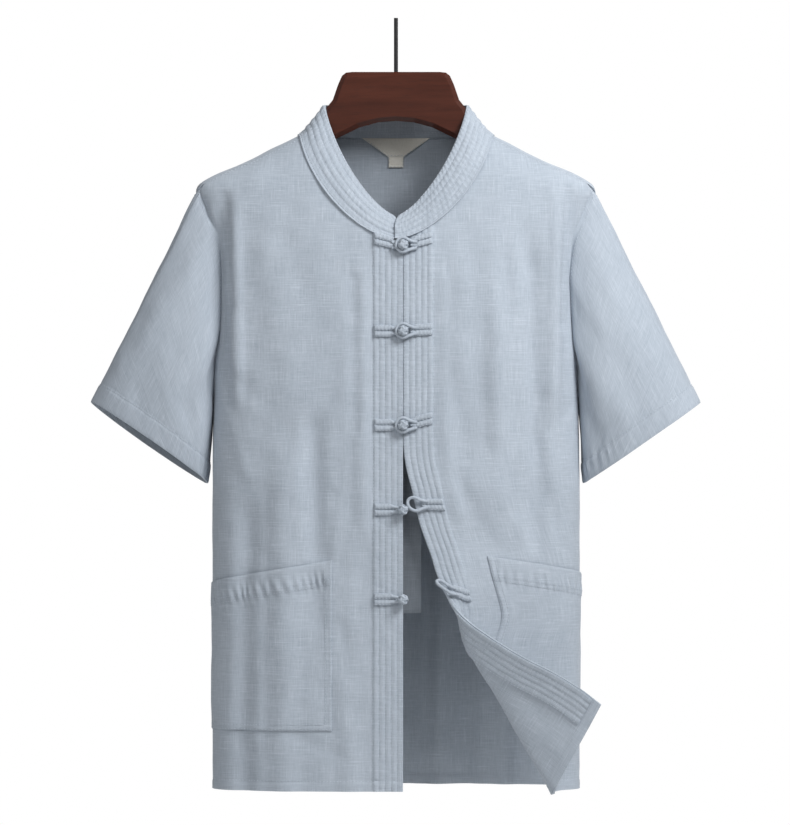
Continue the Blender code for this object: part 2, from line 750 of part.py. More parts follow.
def tube(name, points, radii, coat, group, cyclic=False):
    """A round cord along points."""
    data = bpy.data.curves.new(name, "CURVE")
    data.dimensions = "3D"
    data.bevel_depth = MM
    data.bevel_resolution = 1
    data.use_fill_caps = True
    line = data.splines.new("POLY")
    line.points.add(len(points) - 1)
    for index, (point, radius) in enumerate(zip(points, radii)):
        line.points[index].co = (*(np.array(point) * MM), 1.0)
        line.points[index].radius = radius
    line.use_cyclic_u = cyclic
    carrier = bpy.data.objects.new(name + "_line", data)
    group.objects.link(carrier)
    bpy.context.view_layer.update()
    mesh = bpy.data.meshes.new_from_object(carrier.evaluated_get(bpy.context.evaluated_depsgraph_get()))
    bpy.data.objects.remove(carrier, do_unlink=True)
    shell = bmesh.new()
    shell.from_mesh(mesh)
    bmesh.ops.remove_doubles(shell, verts=shell.verts, dist=1e-6)
    bmesh.ops.recalc_face_normals(shell, faces=shell.faces)
    shell.to_mesh(mesh)
    shell.free()
    mesh.name = name
    return add(name, mesh, coat, group)


def join_to(thing, other, operation, cutters):
    """A boolean with another object, which goes to the cutters."""
    step = thing.modifiers.new(operation.lower(), "BOOLEAN")
    step.operation = operation
    step.solver = "EXACT"
    step.object = other
    for group in list(other.users_collection):
        group.objects.unlink(other)
    cutters.objects.link(other)
    other.hide_render = True
    other.display_type = "WIRE"


# Closures


def loop_path(side, index):
    """A left strap and its eye as one closed cord: (points, radii)."""
    drop = CLOSURES["drop"][index] - CLOSURES["loop_up"][index]
    rise = CLOSURES["left_rise"][index]
    tail = CENTRE_FRONT + STRAP_REACH
    marks = []
    for reach in np.linspace(tail - 3.0, CENTRE_FRONT + 13.0, 4):
        marks.append((reach, STRAP_HALF_HEIGHT, 0.0, STRAP_RADIUS))
    for angle in np.radians(np.linspace(50, 180, 6)):
        reach, high = CENTRE_FRONT + EYE_RADIUS * np.cos(angle), EYE_RADIUS * np.sin(angle)
        marks.append((reach, high, 1.0, CORD_RADIUS))
    lower = [(reach, -high, lift, radius) for reach, high, lift, radius in marks[-2::-1]]
    ends = [(tail, way * STRAP_HALF_HEIGHT * STRAP_END, 0.0, STRAP_RADIUS) for way in (-1, 1)]
    points, radii = [], []
    for reach, high, lift, radius in marks + lower + ends:
        slope = rise * max(0.0, reach - CENTRE_FRONT) / STRAP_REACH
        level = WALL + CHANNEL_RISE + SEAM_GAP + radius
        level = level * (1 - lift) + (WALL + EYE_LIFT) * lift
        points.append(on_front(side, drop - slope - high, reach, level)[0])
        radii.append(radius)
    return points, radii


def knot_path(side, index):
    """A right strap as one cord whose two ends rise into the knot: (points, radii, the knot's middle)."""
    drop, rise = CLOSURES["drop"][index], CLOSURES["right_rise"][index]
    centre = -CENTRE_FRONT
    tail = centre + STRAP_REACH
    upper = [(centre + reach, CORD_SPACING / 2, lift, CORD_RADIUS) for reach, lift in KNOT_RISE]
    reaches = [centre + 13.0, *np.linspace(centre + 19.0, tail - 3.0, 3)]
    upper += [(reach, STRAP_HALF_HEIGHT, 0.0, STRAP_RADIUS) for reach in reaches]
    upper += [(tail, STRAP_HALF_HEIGHT * STRAP_END, 0.0, STRAP_RADIUS)]
    marks = upper + [(reach, -high, lift, radius) for reach, high, lift, radius in upper[::-1]]
    points, radii = [], []
    for reach, high, lift, radius in marks:
        slope = rise * max(0.0, reach - centre) / STRAP_REACH
        level = WALL + CHANNEL_RISE + SEAM_GAP + radius
        level = level * (1 - lift) + (WALL + KNOT_LIFT) * lift
        points.append(on_front(side, drop - slope - high, reach, level)[0])
        radii.append(radius)
    middle = on_front(side, drop, centre, WALL + KNOT_LIFT)[0]
    return points, radii, middle


def add_closures(cord, group, cutters):
    for index in range(len(CLOSURES["drop"])):
        number = index + 1
        tube(f"frog_loop_{number}", *loop_path(LEFT, index), cord, group, cyclic=True)
        points, radii, middle = knot_path(RIGHT, index)
        strap = tube(f"frog_knot_{number}", points, radii, cord, group)
        ball = bmesh.new()
        bmesh.ops.create_uvsphere(ball, u_segments=10, v_segments=6, radius=KNOT_RADIUS * MM)
        bmesh.ops.translate(ball, verts=ball.verts, vec=(middle * MM).tolist())
        mesh = bpy.data.meshes.new(f"knot_ball_{number}")
        ball.to_mesh(mesh)
        ball.free()
        join_to(strap, add(f"knot_ball_{number}", mesh, cord, group), "UNION", cutters)


# Flat work on the fronts


def pocket_grid(side, panel):
    """A pocket's rows of inner points. Its mouth slopes down towards the side."""
    inner, mouth = POCKET_INNER[side], POCKET_MOUTH_DROP[side]
    rows = [drop for drop in panel.drops if mouth < drop < POCKET_BOTTOM_DROP] + [POCKET_BOTTOM_DROP]
    columns = []
    for reach in panel.reaches_between(inner, POCKET_OUTER, mouth):
        top = mouth + POCKET_MOUTH_SLOPE * (reach - inner)
        drops = [top] + [max(drop, top + 4.0 * (index + 1)) for index, drop in enumerate(rows)]
        columns.append([panel.on(drop, reach, WALL + POCKET_GAP[side]) for drop in drops])
    return np.array(columns).transpose(1, 0, 2)


def facing_grid(panel):
    """The facing's rows of points on the wrong side of the left front."""
    reaches = panel.reaches_between(CENTRE_FRONT + 1.2, CENTRE_FRONT + FACING_WIDTH, FACING_TOP_DROP)
    drops = [drop for drop in panel.drops if drop < HEM_DROP] + [HEM_DROP - 1.2]
    gaps = [FACING_GAP + FACING_FOLD_GAP * ease((drop - 560.0) / 120.0) for drop in drops]
    columns = [[panel.on(drop, reach, -WALL - gap) for drop, gap in zip(drops, gaps)] for reach in reaches]
    return np.array(columns).transpose(1, 0, 2)


def guard_grid():
    drops = np.linspace(GUARD_TOP_DROP, GUARD_BOTTOM_DROP, 9)
    columns = []
    for along in np.linspace(GUARD_INNER, GUARD_OUTER, 5):
        points = [place(FRONT, drop, along) for drop in drops]
        columns.append([point + np.array([0.0, GUARD_DEPTH, 0.0]) for point in points])
    return np.array(columns).transpose(1, 0, 2)


def label_grid(top, height, top_half, foot_half, depth):
    """Rows on the back's inside, narrowing downwards."""
    rows = []
    for part in np.linspace(0.0, 1.0, 3):
        half = top_half * (1 - part) + foot_half * part
        drop = top + height * part
        row = []
        for along in np.linspace(-half, half, 7):
            point = place(BACK, max(drop, SHOULDER_POINT_DROP + BACK_NECK_DIP), along)
            row.append(np.array([point[0], point[1] - depth, -drop]))
        rows.append(row)
    return np.array(rows)


# Hanger and rod


def hanger_outline():
    """Half of the hanger's front outline, from its top to the middle of its foot, as (x, drop)."""
    marks = (118.0, 128.0, 140.0, 152.0, 165.0, 178.0, 190.0, 202.0)
    arm = [(x, ridge_drop(x) + HANGER_REST) for x in marks]
    top = [(0.0, HANGER_TOP_DROP), (50.0, HANGER_TOP_DROP), (57.0, 62.4), (61.5, 66.0), (66.0, 76.0)]
    neck = [(72.0, 93.5), (78.0, 101.0), (90.0, 119.0), (101.0, 135.0), (109.0, 138.5)]
    tip = [(208.5, 188.5), (213.5, 193.0), (215.5, 198.5), (212.5, 204.0), (205.0, 205.0)]
    foot = [(180.0, 195.0), (150.0, 182.0), (120.0, 167.0), (95.0, 152.5)]
    arch = [(64.0, 135.7), (42.0, 125.0), (20.0, 119.0), (0.0, 117.4)]
    return top + neck + arm + tip + foot + arch


def add_hanger(wood, group, cutters):
    half = hanger_outline()
    outline = half + [(-x, drop) for x, drop in half[-2:0:-1]]
    data = bpy.data.curves.new("hanger", "CURVE")
    data.dimensions = "2D"
    data.fill_mode = "BOTH"
    data.extrude = (HANGER_HALF_THICKNESS - HANGER_EDGE) * MM
    data.bevel_depth = HANGER_EDGE * MM
    data.bevel_resolution = 0
    data.offset = -HANGER_EDGE * MM
    line = data.splines.new("POLY")
    line.points.add(len(outline) - 1)
    for index, (x, drop) in enumerate(outline):
        line.points[index].co = (x * MM, -drop * MM, 0.0, 1.0)
    line.use_cyclic_u = True
    carrier = bpy.data.objects.new("hanger_line", data)
    group.objects.link(carrier)
    bpy.context.view_layer.update()
    mesh = bpy.data.meshes.new_from_object(carrier.evaluated_get(bpy.context.evaluated_depsgraph_get()))
    bpy.data.objects.remove(carrier, do_unlink=True)
    shell = bmesh.new()
    shell.from_mesh(mesh)
    for vert in shell.verts:
        vert.co = (vert.co.x, -vert.co.z, vert.co.y)
    bmesh.ops.remove_doubles(shell, verts=shell.verts, dist=1e-6)
    bmesh.ops.recalc_face_normals(shell, faces=shell.faces)
    shell.to_mesh(mesh)
    shell.free()
    hanger = add("hanger", mesh, wood, group)
    socket_foot = HANGER_TOP_DROP + ROD_SEAT + SEAM_GAP
    socket = rod_mesh("rod_socket", ROD_RADIUS + SEAM_GAP, HANGER_TOP_DROP - 5.0, socket_foot)
    join_to(hanger, add("rod_socket", socket, wood, group), "DIFFERENCE", cutters)


def rod_mesh(name, radius, top, bottom):
    """An upright cylinder between two drops."""
    shell = bmesh.new()
    bmesh.ops.create_cone(shell, cap_ends=True, segments=20, radius1=radius * MM, radius2=radius * MM,
                          depth=(bottom - top) * MM)
    bmesh.ops.translate(shell, verts=shell.verts, vec=(0.0, 0.0, -(top + bottom) / 2 * MM))
    mesh = bpy.data.meshes.new(name)
    shell.to_mesh(mesh)
    shell.free()
    return mesh


def build():
    group, cutters = fresh_scene()
    linen = material("linen", (0.58, 0.62, 0.68), 0.85)
    cord = material("linen_cord", (0.56, 0.60, 0.66), 0.8)
    tape = material("label_tape", (0.80, 0.79, 0.74), 0.6)
    wood = material("stained_wood", (0.16, 0.06, 0.04), 0.4)
    metal = material("black_metal", (0.03, 0.03, 0.03), 0.4)

    right, left = front_panel(RIGHT), front_panel(LEFT)
    sheet("front_right", right.points, WALL, linen, group, forwards, right.rises)
    sheet("front_left", left.points, WALL, linen, group, from_axis, left.rises)
    sheet("back", back_grid(), WALL, linen, group, from_axis)
    for side, name in ((RIGHT, "right"), (LEFT, "left")):
        sleeve = sleeve_grid(side)
        middle = sleeve.mean(axis=1)

        def from_arm(point):
            return point - middle[np.argmin(np.abs(middle[:, 2] - point[2]))]

        sheet(f"sleeve_{name}", sleeve, WALL, linen, group, from_arm, closed=True)
    channels = [[row % 2] * (2 * COLLAR_COLUMNS + 1) for row in range(2 * COLLAR_CHANNELS + 1)]
    sheet("collar", collar_grid(), COLLAR_WALL, linen, group, from_axis, channels)
    sheet("pocket_right", pocket_grid(RIGHT, right), WALL, linen, group, from_axis)
    sheet("pocket_left", pocket_grid(LEFT, left), WALL, linen, group, from_axis)
    sheet("facing_left", facing_grid(left), WALL, linen, group, from_axis)
    sheet("underlap", guard_grid(), WALL, linen, group, forwards)
    add_closures(cord, group, cutters)
    depth = LABEL_WALL + LABEL_STEP
    label = label_grid(LABEL_TOP_DROP, LABEL_HEIGHT, LABEL_TOP_HALF_WIDTH, LABEL_FOOT_HALF_WIDTH, depth)
    sheet("label", label, LABEL_WALL, tape, group, lambda point: np.array([0.0, 1.0, 0.0]))
    tab_top = LABEL_TOP_DROP + LABEL_HEIGHT + SEAM_GAP
    tab = label_grid(tab_top, TAB_HEIGHT, TAB_HALF_WIDTH, TAB_HALF_WIDTH, depth)
    sheet("size_tab", tab, LABEL_WALL, tape, group, lambda point: np.array([0.0, 1.0, 0.0]))
    add_hanger(wood, group, cutters)
    rod = rod_mesh("rod", ROD_RADIUS, 0.0, HANGER_TOP_DROP + ROD_SEAT)
    add("rod", rod, metal, group)


build()
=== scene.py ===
# %% [markdown]
# # A short-sleeved linen jacket on a wooden hanger
#
# The solid model gives the true form: hollow walls, a hanger and a rod. This lesson puts the looks on it.
# Each cloth piece is made again from the same rings at a much finer spacing, so that creases, puckers and
# stitches are real shape. The wood and the rod keep their solids and get better materials.

import math

import bmesh
import bpy
import numpy as np
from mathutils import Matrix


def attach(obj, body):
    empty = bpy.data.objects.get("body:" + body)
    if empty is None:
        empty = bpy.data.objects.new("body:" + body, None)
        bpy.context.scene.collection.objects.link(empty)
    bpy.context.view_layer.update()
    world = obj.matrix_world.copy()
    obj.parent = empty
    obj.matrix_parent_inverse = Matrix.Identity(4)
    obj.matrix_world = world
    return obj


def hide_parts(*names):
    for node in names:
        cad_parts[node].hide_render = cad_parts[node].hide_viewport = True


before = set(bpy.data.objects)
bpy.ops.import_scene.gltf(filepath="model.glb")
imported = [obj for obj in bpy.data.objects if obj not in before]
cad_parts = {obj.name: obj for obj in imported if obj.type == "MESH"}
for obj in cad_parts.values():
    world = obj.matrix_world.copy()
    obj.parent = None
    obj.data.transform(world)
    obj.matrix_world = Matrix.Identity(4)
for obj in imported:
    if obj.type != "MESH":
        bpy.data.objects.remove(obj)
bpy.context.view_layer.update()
MM = 0.001
RIGHT, LEFT = -1, 1
FRONT, BACK = -1, 1

# %% [markdown]
# ## Sums of sockets
#
# A material is a network of nodes, and its maths reads badly as boxes and wires. A small class holds one
# output socket and turns Python's own signs into Math nodes, so that a mask can be written like a sum on
# paper.


# %% A socket that can be added and multiplied
class Thread:
    """One output of a material's nodes, used in Python sums."""

    def __init__(self, recipe, socket):
        self.recipe = recipe
        self.socket = socket

    def __add__(self, other):
        return self.recipe.maths("ADD", self, other)

    def __sub__(self, other):
        return self.recipe.maths("SUBTRACT", self, other)

    def __rsub__(self, other):
        return self.recipe.maths("SUBTRACT", other, self)

    def __mul__(self, other):
        return self.recipe.maths("MULTIPLY", self, other)

    __radd__ = __add__
    __rmul__ = __mul__

    def clear(self):
        """The value held between 0 and 1."""
        return self.recipe.maths("MAXIMUM", self.recipe.maths("MINIMUM", self, 1.0), 0.0)


# %% [markdown]
# ## A recipe for a material
#
# Every material here starts from Blender's Principled shader. The recipe adds nodes by their type, sets
# their settings first and then their inputs, and knows the few kinds that cloth and wood need again and
# again.


# %% The recipe
class Recipe:
    """A material on the Principled shader, built from thread sums."""

    def __init__(self, name, **fixed):
        self.material = bpy.data.materials.new(name)
        self.material.use_nodes = True
        self.tree = self.material.node_tree
        self.shader = self.tree.nodes["Principled BSDF"]
        for socket, value in fixed.items():
            self.shader.inputs[socket.replace("_", " ")].default_value = value

    def node(self, kind, settings=None, inputs=None, out=0):
        """A node of any kind: its settings are set first, and then the values or threads of its inputs."""
        node = self.tree.nodes.new(kind)
        for name, value in (settings or {}).items():
            setattr(node, name, value)
        for name, value in (inputs or {}).items():
            if isinstance(value, Thread):
                self.tree.links.new(value.socket, node.inputs[name])
            else:
                node.inputs[name].default_value = value
        return Thread(self, node.outputs[out])

    def maths(self, operation, first, second):
        return self.node("ShaderNodeMath", {"operation": operation}, {0: first, 1: second})

    def stretched(self, place, scale):
        """The place with each of its three directions scaled by its own amount."""
        return self.node("ShaderNodeVectorMath", {"operation": "MULTIPLY"}, {0: place, 1: scale})

    def noise(self, place, scale, detail=2.0, roughness=0.5):
        settings = {"noise_dimensions": "3D"}
        values = {"Vector": self.stretched(place, scale), "Scale": 1.0}
        values.update({"Detail": detail, "Roughness": roughness})
        return self.node("ShaderNodeTexNoise", settings, values)

    def blend(self, factor, first, second):
        """A colour between two colours."""
        values = {0: factor, 6: first, 7: second}
        return self.node("ShaderNodeMix", {"data_type": "RGBA"}, values, out=2)

    def cloth_place(self):
        """Where a point lies on the flat cloth, in metres, as stored on the mesh."""
        return self.node("ShaderNodeAttribute", {"attribute_name": "cloth"}, out=1)

    def bump(self, height, distance, strength=1.0):
        values = {"Height": height, "Distance": distance, "Strength": strength}
        return self.node("ShaderNodeBump", None, values)

    def feed(self, **threads):
        for socket, thread in threads.items():
            self.tree.links.new(thread.socket, self.shader.inputs[socket.replace("_", " ")])
        return self.material


# %% [markdown]
# ## Slubbed linen
#
# Linen yarn is spun from flax, and its thickness wanders. Seen from a step away, the cloth is a fine grid
# of paler and darker short streaks, along both the warp and the weft. Two noises, one stretched each way,
# give the streaks. Each mesh stores where its points lie on the flat cloth, so the streaks follow the grain
# of each cut piece, not the room. A picture could do the same, but a node pattern stays sharp close up.

# %% Linen
LINEN_DARK = (0.272, 0.318, 0.374, 1.0)
LINEN_PALE = (0.470, 0.520, 0.585, 1.0)
YARN = 1 / 0.0011
SLUB = 1 / 0.030
FINE_YARN = 1 / 0.0006


def linen(name, shade=1.0):
    """Grey-blue linen. A shade under 1 is darker."""
    recipe = Recipe(name, Roughness=0.88, Sheen_Weight=0.12, Sheen_Roughness=0.5, Specular_IOR_Level=0.25)
    place = recipe.cloth_place()
    warp = recipe.noise(place, (YARN, SLUB, 1.0), detail=3.0)
    weft = recipe.noise(place, (SLUB, YARN, 1.0), detail=3.0)
    fine_warp = recipe.noise(place, (FINE_YARN, SLUB * 4, 1.0), detail=1.0)
    fine_weft = recipe.noise(place, (SLUB * 4, FINE_YARN, 1.0), detail=1.0)
    clouds = recipe.noise(place, (9.0, 9.0, 1.0), detail=3.0)
    streaks = (warp + weft) * 0.5
    grid = (fine_warp + fine_weft) * 0.5
    slubs = ((weft - 0.60) * 7.0).clear() * 0.30 + ((warp - 0.62) * 7.0).clear() * 0.22
    tone = ((streaks - 0.5) * 1.5 + (grid - 0.5) * 0.9 + (clouds - 0.5) * 0.35 + slubs + 0.52).clear()
    dark = tuple(value * shade for value in LINEN_DARK[:3]) + (1.0,)
    pale = tuple(value * shade for value in LINEN_PALE[:3]) + (1.0,)
    colour = recipe.blend(tone, dark, pale)
    height = streaks * 0.6 + grid * 0.4 + slubs * 0.6
    return recipe.feed(Base_Color=colour, Normal=recipe.bump(height, 0.00035, 0.55))


linen_cloth = linen("linen")
# This linen is darkened to half as painted shade: it stands for the shadow that falls behind the front edge.
linen_painted_shade = linen("linen behind the front", 0.5)
linen_cord = linen("linen cord", 0.98)

# %% [markdown]
# ## Thread, tape, wood and black metal
#
# Sewing thread is smoother and a little paler than the cloth. The label is woven tape. The hanger is wood
# with a red-brown stain under satin varnish: long streaks along the arm, finer pores in them, and a thin
# clear coat.

# %% The other materials


def sewing_thread():
    recipe = Recipe("sewing thread", Roughness=0.6, Sheen_Weight=0.1)
    place = recipe.node("ShaderNodeTexCoord", out=3)
    twist = recipe.noise(place, (900.0, 900.0, 900.0))
    return recipe.feed(Base_Color=recipe.blend(twist, (0.36, 0.41, 0.47, 1), (0.54, 0.59, 0.65, 1)))


def label_tape():
    recipe = Recipe("label tape", Roughness=0.55, Sheen_Weight=0.1)
    place = recipe.node("ShaderNodeTexCoord", out=3)
    rib = recipe.noise(place, (2500.0, 2500.0, 300.0), detail=1.0)
    worn = recipe.noise(place, (60.0, 60.0, 60.0))
    tone = (rib * 0.6 + worn * 0.4).clear()
    colour = recipe.blend(tone, (0.52, 0.50, 0.44, 1), (0.80, 0.79, 0.73, 1))
    return recipe.feed(Base_Color=colour, Normal=recipe.bump(rib, 0.0001, 0.4))


def stained_wood():
    recipe = Recipe("stained wood", Coat_Weight=0.35, Coat_Roughness=0.25, Specular_IOR_Level=0.4)
    place = recipe.node("ShaderNodeTexCoord", out=3)
    swirl = recipe.noise(place, (4.0, 20.0, 10.0), detail=2.0)
    bent = recipe.node("ShaderNodeVectorMath", {"operation": "ADD"}, {0: place, 1: swirl * 0.02})
    grain = recipe.noise(bent, (9.0, 160.0, 150.0), detail=5.0, roughness=0.6)
    pores = recipe.noise(place, (60.0, 1400.0, 1100.0), detail=2.0)
    bands = recipe.noise(bent, (3.0, 40.0, 26.0), detail=2.0)
    tone = (grain * 0.75 + bands * 0.55 - 0.18).clear()
    stained = recipe.blend(tone, (0.022, 0.0050, 0.0026, 1), (0.098, 0.0215, 0.0088, 1))
    dark_pores = ((pores - 0.58) * 6.0).clear() * 0.5
    colour = recipe.blend(dark_pores, stained, (0.018, 0.006, 0.004, 1))
    rough = grain * 0.16 + 0.26
    relief = recipe.bump(grain + pores * 0.3, 0.0002, 0.25)
    return recipe.feed(Base_Color=colour, Roughness=rough, Normal=relief)


def black_metal():
    recipe = Recipe("black metal", Metallic=0.0, Specular_IOR_Level=0.5)
    place = recipe.node("ShaderNodeTexCoord", out=3)
    specks = recipe.noise(place, (400.0, 400.0, 400.0))
    colour = recipe.blend(specks, (0.004, 0.004, 0.005, 1), (0.014, 0.014, 0.015, 1))
    return recipe.feed(Base_Color=colour, Roughness=specks * 0.2 + 0.3)


thread_finish = sewing_thread()
tape_finish = label_tape()
wood_finish = stained_wood()
metal_finish = black_metal()
for node_name, finish in (("hanger", wood_finish), ("rod", metal_finish)):
    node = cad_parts[node_name]
    node.data.materials.clear()
    node.data.materials.append(finish)
print("materials:", len(bpy.data.materials))

# %% [markdown]
# ## The rings of the hanging garment
#
# A garment on a hanger is a tube that hangs from its shoulders. Level sections of it are easy to describe:
# half a width, a depth before and behind the shoulder line, and how square the outline is. These are the
# same rings as the solids', so both models agree. A cloth simulation could find such a form too, but it
# would not keep the measured outline.

# %% The rings


def table(names, *rows):
    """A table with a column for each name, as {name: array}."""
    return {name: np.array(column, float) for name, column in zip(names.split(), zip(*rows))}


RINGS = table(
    "drop half_width front back square",
    (100, 44.0, 24, 38, 2.0),
    (134, 108.0, 32, 42, 2.0),
    (160, 159.0, 39, 46, 2.0),
    (193, 225.0, 46, 51, 2.1),
    (215, 221.0, 50, 54, 2.3),
    (250, 211.0, 56, 58, 2.5),
    (320, 206.0, 63, 62, 2.7),
    (407, 206.0, 68, 64, 2.8),
    (515, 207.5, 71, 65, 2.8),
    (700, 207.5, 70, 64, 2.8),
    (877, 207.5, 68, 62, 2.8),
)
FRONT_FOLDS = table(
    "along width rise top bottom lean",
    (-205, 12, -5, 186, 420, 0.00),
    (-186, 12, 4, 190, 470, 0.02),
    (-92, 22, -4, 420, 720, 0.00),
    (-126, 24, 4, 470, 960, 0.00),
    (-40, 16, 3, 250, 620, 0.01),
    (-170, 20, -4, 520, 960, -0.01),
    (-60, 20, 3, 700, 960, 0.05),
    (205, 12, -5, 192, 400, 0.00),
    (186, 13, 5, 190, 480, -0.02),
    (150, 20, -6, 220, 640, 0.03),
    (118, 22, 6, 300, 600, 0.01),
    (72, 18, 3, 250, 460, 0.02),
)
BACK_FOLDS = table(
    "along width rise top bottom lean",
    (-196, 14, -6, 205, 470, 0.04),
    (196, 14, -6, 205, 455, -0.04),
    (-150, 20, 6, 260, 960, 0.04),
    (-112, 18, -7, 330, 960, 0.03),
    (-72, 20, 6, 400, 960, 0.02),
    (-28, 22, -6, 330, 960, 0.00),
    (18, 20, 6, 300, 960, -0.01),
    (58, 18, -7, 380, 960, -0.02),
    (98, 20, 6, 290, 960, -0.03),
    (140, 20, -7, 340, 960, -0.03),
)
FOLD_FADE = 70.0
HEM_DROP = 877.0
ARMPIT_DROP = 407.0


def ease(value):
    """0 below 0, 1 above 1, and a smooth step between."""
    value = np.clip(value, 0.0, 1.0)
    return value * value * (3.0 - 2.0 * value)


def at(rows, name, drop):
    """A table's column at a drop, read along a smooth curve through its rows."""
    drops, values = rows["drop"], rows[name]
    drop = min(max(drop, drops[0]), drops[-1])
    slopes = np.gradient(values, drops)
    upper = min(max(int(np.searchsorted(drops, drop)), 1), len(drops) - 1)
    lower = upper - 1
    span = drops[upper] - drops[lower]
    part = (drop - drops[lower]) / span
    rise = values[upper] - values[lower]
    bend = part * (1 - part) * span * (slopes[lower] * (1 - part) - slopes[upper] * part)
    return values[lower] + rise * ease(part) + bend


RING_CACHE = {}


def ring(drop):
    """A ring as (along, x, y) round from the centre front, and the length of its front quarter."""
    key = round(drop, 2)
    if key not in RING_CACHE:
        angle = np.linspace(0.0, 2.0 * np.pi, 961)
        power = 2.0 / at(RINGS, "square", drop)
        sideways, forward = np.sin(angle), np.cos(angle)
        depth = np.where(forward > 0, at(RINGS, "front", drop), at(RINGS, "back", drop))
        x = at(RINGS, "half_width", drop) * np.sign(sideways) * np.abs(sideways) ** power
        y = -depth * np.sign(forward) * np.abs(forward) ** power
        along = np.concatenate([[0.0], np.cumsum(np.hypot(np.diff(x), np.diff(y)))])
        RING_CACHE[key] = (along, x, y, along[int(np.argmax(x))])
    return RING_CACHE[key]


def quarter(side, drop):
    """The length of a ring from its centre front or back to its side."""
    along, _, _, front = ring(drop)
    return front if side == FRONT else along[-1] / 2 - front


def fold_rise(side, drop, along):
    """How far the soft folds move the cloth outwards along a row."""
    folds = FRONT_FOLDS if side == FRONT else BACK_FOLDS
    total = np.zeros_like(along)
    for middle, width, rise, top, bottom, lean in zip(*folds.values()):
        reach = np.clip((along - middle - lean * (drop - top)) / width, -1.0, 1.0)
        fade = ease((drop - top) / FOLD_FADE) * ease((bottom - drop) / FOLD_FADE)
        total += rise * fade * 0.5 * (1.0 + np.cos(np.pi * reach))
    return total


def ring_row(side, drop, along):
    """Points of the cloth's inner face along a row."""
    along = np.asarray(along, float)
    arcs, xs, ys, _ = ring(drop)
    total = arcs[-1]
    arc = (along if side == FRONT else total / 2 - along) % total
    x, y = np.interp(arc, arcs, xs), np.interp(arc, arcs, ys)
    ahead, behind = (arc + 1.0) % total, (arc - 1.0) % total
    run_x = np.interp(ahead, arcs, xs) - np.interp(behind, arcs, xs)
    run_y = np.interp(ahead, arcs, ys) - np.interp(behind, arcs, ys)
    length = np.hypot(run_x, run_y)
    rise = fold_rise(side, drop, along)
    return np.stack([x + run_y / length * rise, y - run_x / length * rise, np.full_like(x, -drop)], axis=-1)


print("a ring at the chest measures", round(ring(450)[0][-1]), "mm round")

# %% [markdown]
# ## Shoulders, neck and armholes
#
# The shoulder seam lies a little before the ridge of the shoulder, where a shirt maker puts it. The
# neckline and the armholes are cut into the rings as curves: each says where the cloth starts or ends at a
# level.

# %% Where the cloth starts and ends
SHOULDER_POINT_DROP = 134.0
SHOULDER_SEAM_FORWARD = 11.0
NECK_HALF_WIDTH = 106.0
FRONT_NECK_DEPTH = 120.0
FRONT_NECK_POWER = 1.57
BACK_NECK_DIP = 3.0
SHOULDER_FULL = 184.0
SHOULDER_END = 216.0
RIDGE_END = 227.0
SHOULDER_BLEND = 40.0
CENTRE_FRONT = 8.0
SEAM_SETBACK = 0.15
ARMHOLE = table(
    "drop inset", (222, 17), (245, 22), (290, 24), (345, 23), (375, 18), (397, 9), (407, 0)
)


def halving(low, high, is_above, steps=34):
    """The value between low and high at which a rising test turns true."""
    for _ in range(steps):
        middle = (low + high) / 2
        low, high = (low, middle) if is_above(middle) else (middle, high)
    return (low + high) / 2


def shoulder_drop(x, y):
    """The drop of the cloth over the shoulder, at a place seen from above."""

    def reaches(drop):
        depth = at(RINGS, "front" if y < 0 else "back", drop)
        square = at(RINGS, "square", drop)
        return at(RINGS, "half_width", drop) * max(0.0, 1 - (abs(y) / depth) ** square) ** (1 / square) >= x

    return halving(100.0, 215.0, reaches)


def seam_point(x):
    """The drop and the front along of the shoulder seam."""
    drop = shoulder_drop(x, -SHOULDER_SEAM_FORWARD)
    along, xs, ys, _ = ring(drop)
    return drop, float(np.interp(-SHOULDER_SEAM_FORWARD, ys[:241], along[:241]))


def ridge_drop(x):
    """The drop at which a ring's side reaches a distance from the centre line."""
    return halving(100.0, 205.0, lambda drop: at(RINGS, "half_width", drop) >= x)


def neckline_half_width(drop):
    depth = np.clip((drop - SHOULDER_POINT_DROP) / FRONT_NECK_DEPTH, 0.0, 1.0)
    return NECK_HALF_WIDTH * (1 - depth**FRONT_NECK_POWER) ** (1 / FRONT_NECK_POWER)


def back_neck_drop(along):
    reach = min(abs(along) / quarter(BACK, SHOULDER_POINT_DROP), 1.0)
    return SHOULDER_POINT_DROP + BACK_NECK_DIP * (1 - reach**2)


END_DROP, END_ALONG = seam_point(SHOULDER_END)
EDGE_TOP = {
    FRONT: (END_DROP, quarter(FRONT, END_DROP) - END_ALONG),
    BACK: (ridge_drop(RIDGE_END), 0.0),
}


def edge_along(side, drop):
    """The along of a panel's outer edge: its armhole, then its side seam."""
    first, inset = EDGE_TOP[side]
    drops, insets = [first, *ARMHOLE["drop"]], [inset, *ARMHOLE["inset"]]
    return quarter(side, drop) - float(np.interp(drop, drops, insets)) - SEAM_SETBACK


print("the shoulder seam ends", round(END_DROP), "mm down and the armpit is at", ARMPIT_DROP)

# %% [markdown]
# ## The turned-back corner
#
# Below the third knot the left front hangs open, and its lower corner turns over, so that its wrong side
# shows. Each level of that cloth is one smooth curve: out along the belly to the fold, round the fold, and
# up to the free edge. A table says where the fold and the edge lie, and how far the cloth has turned.

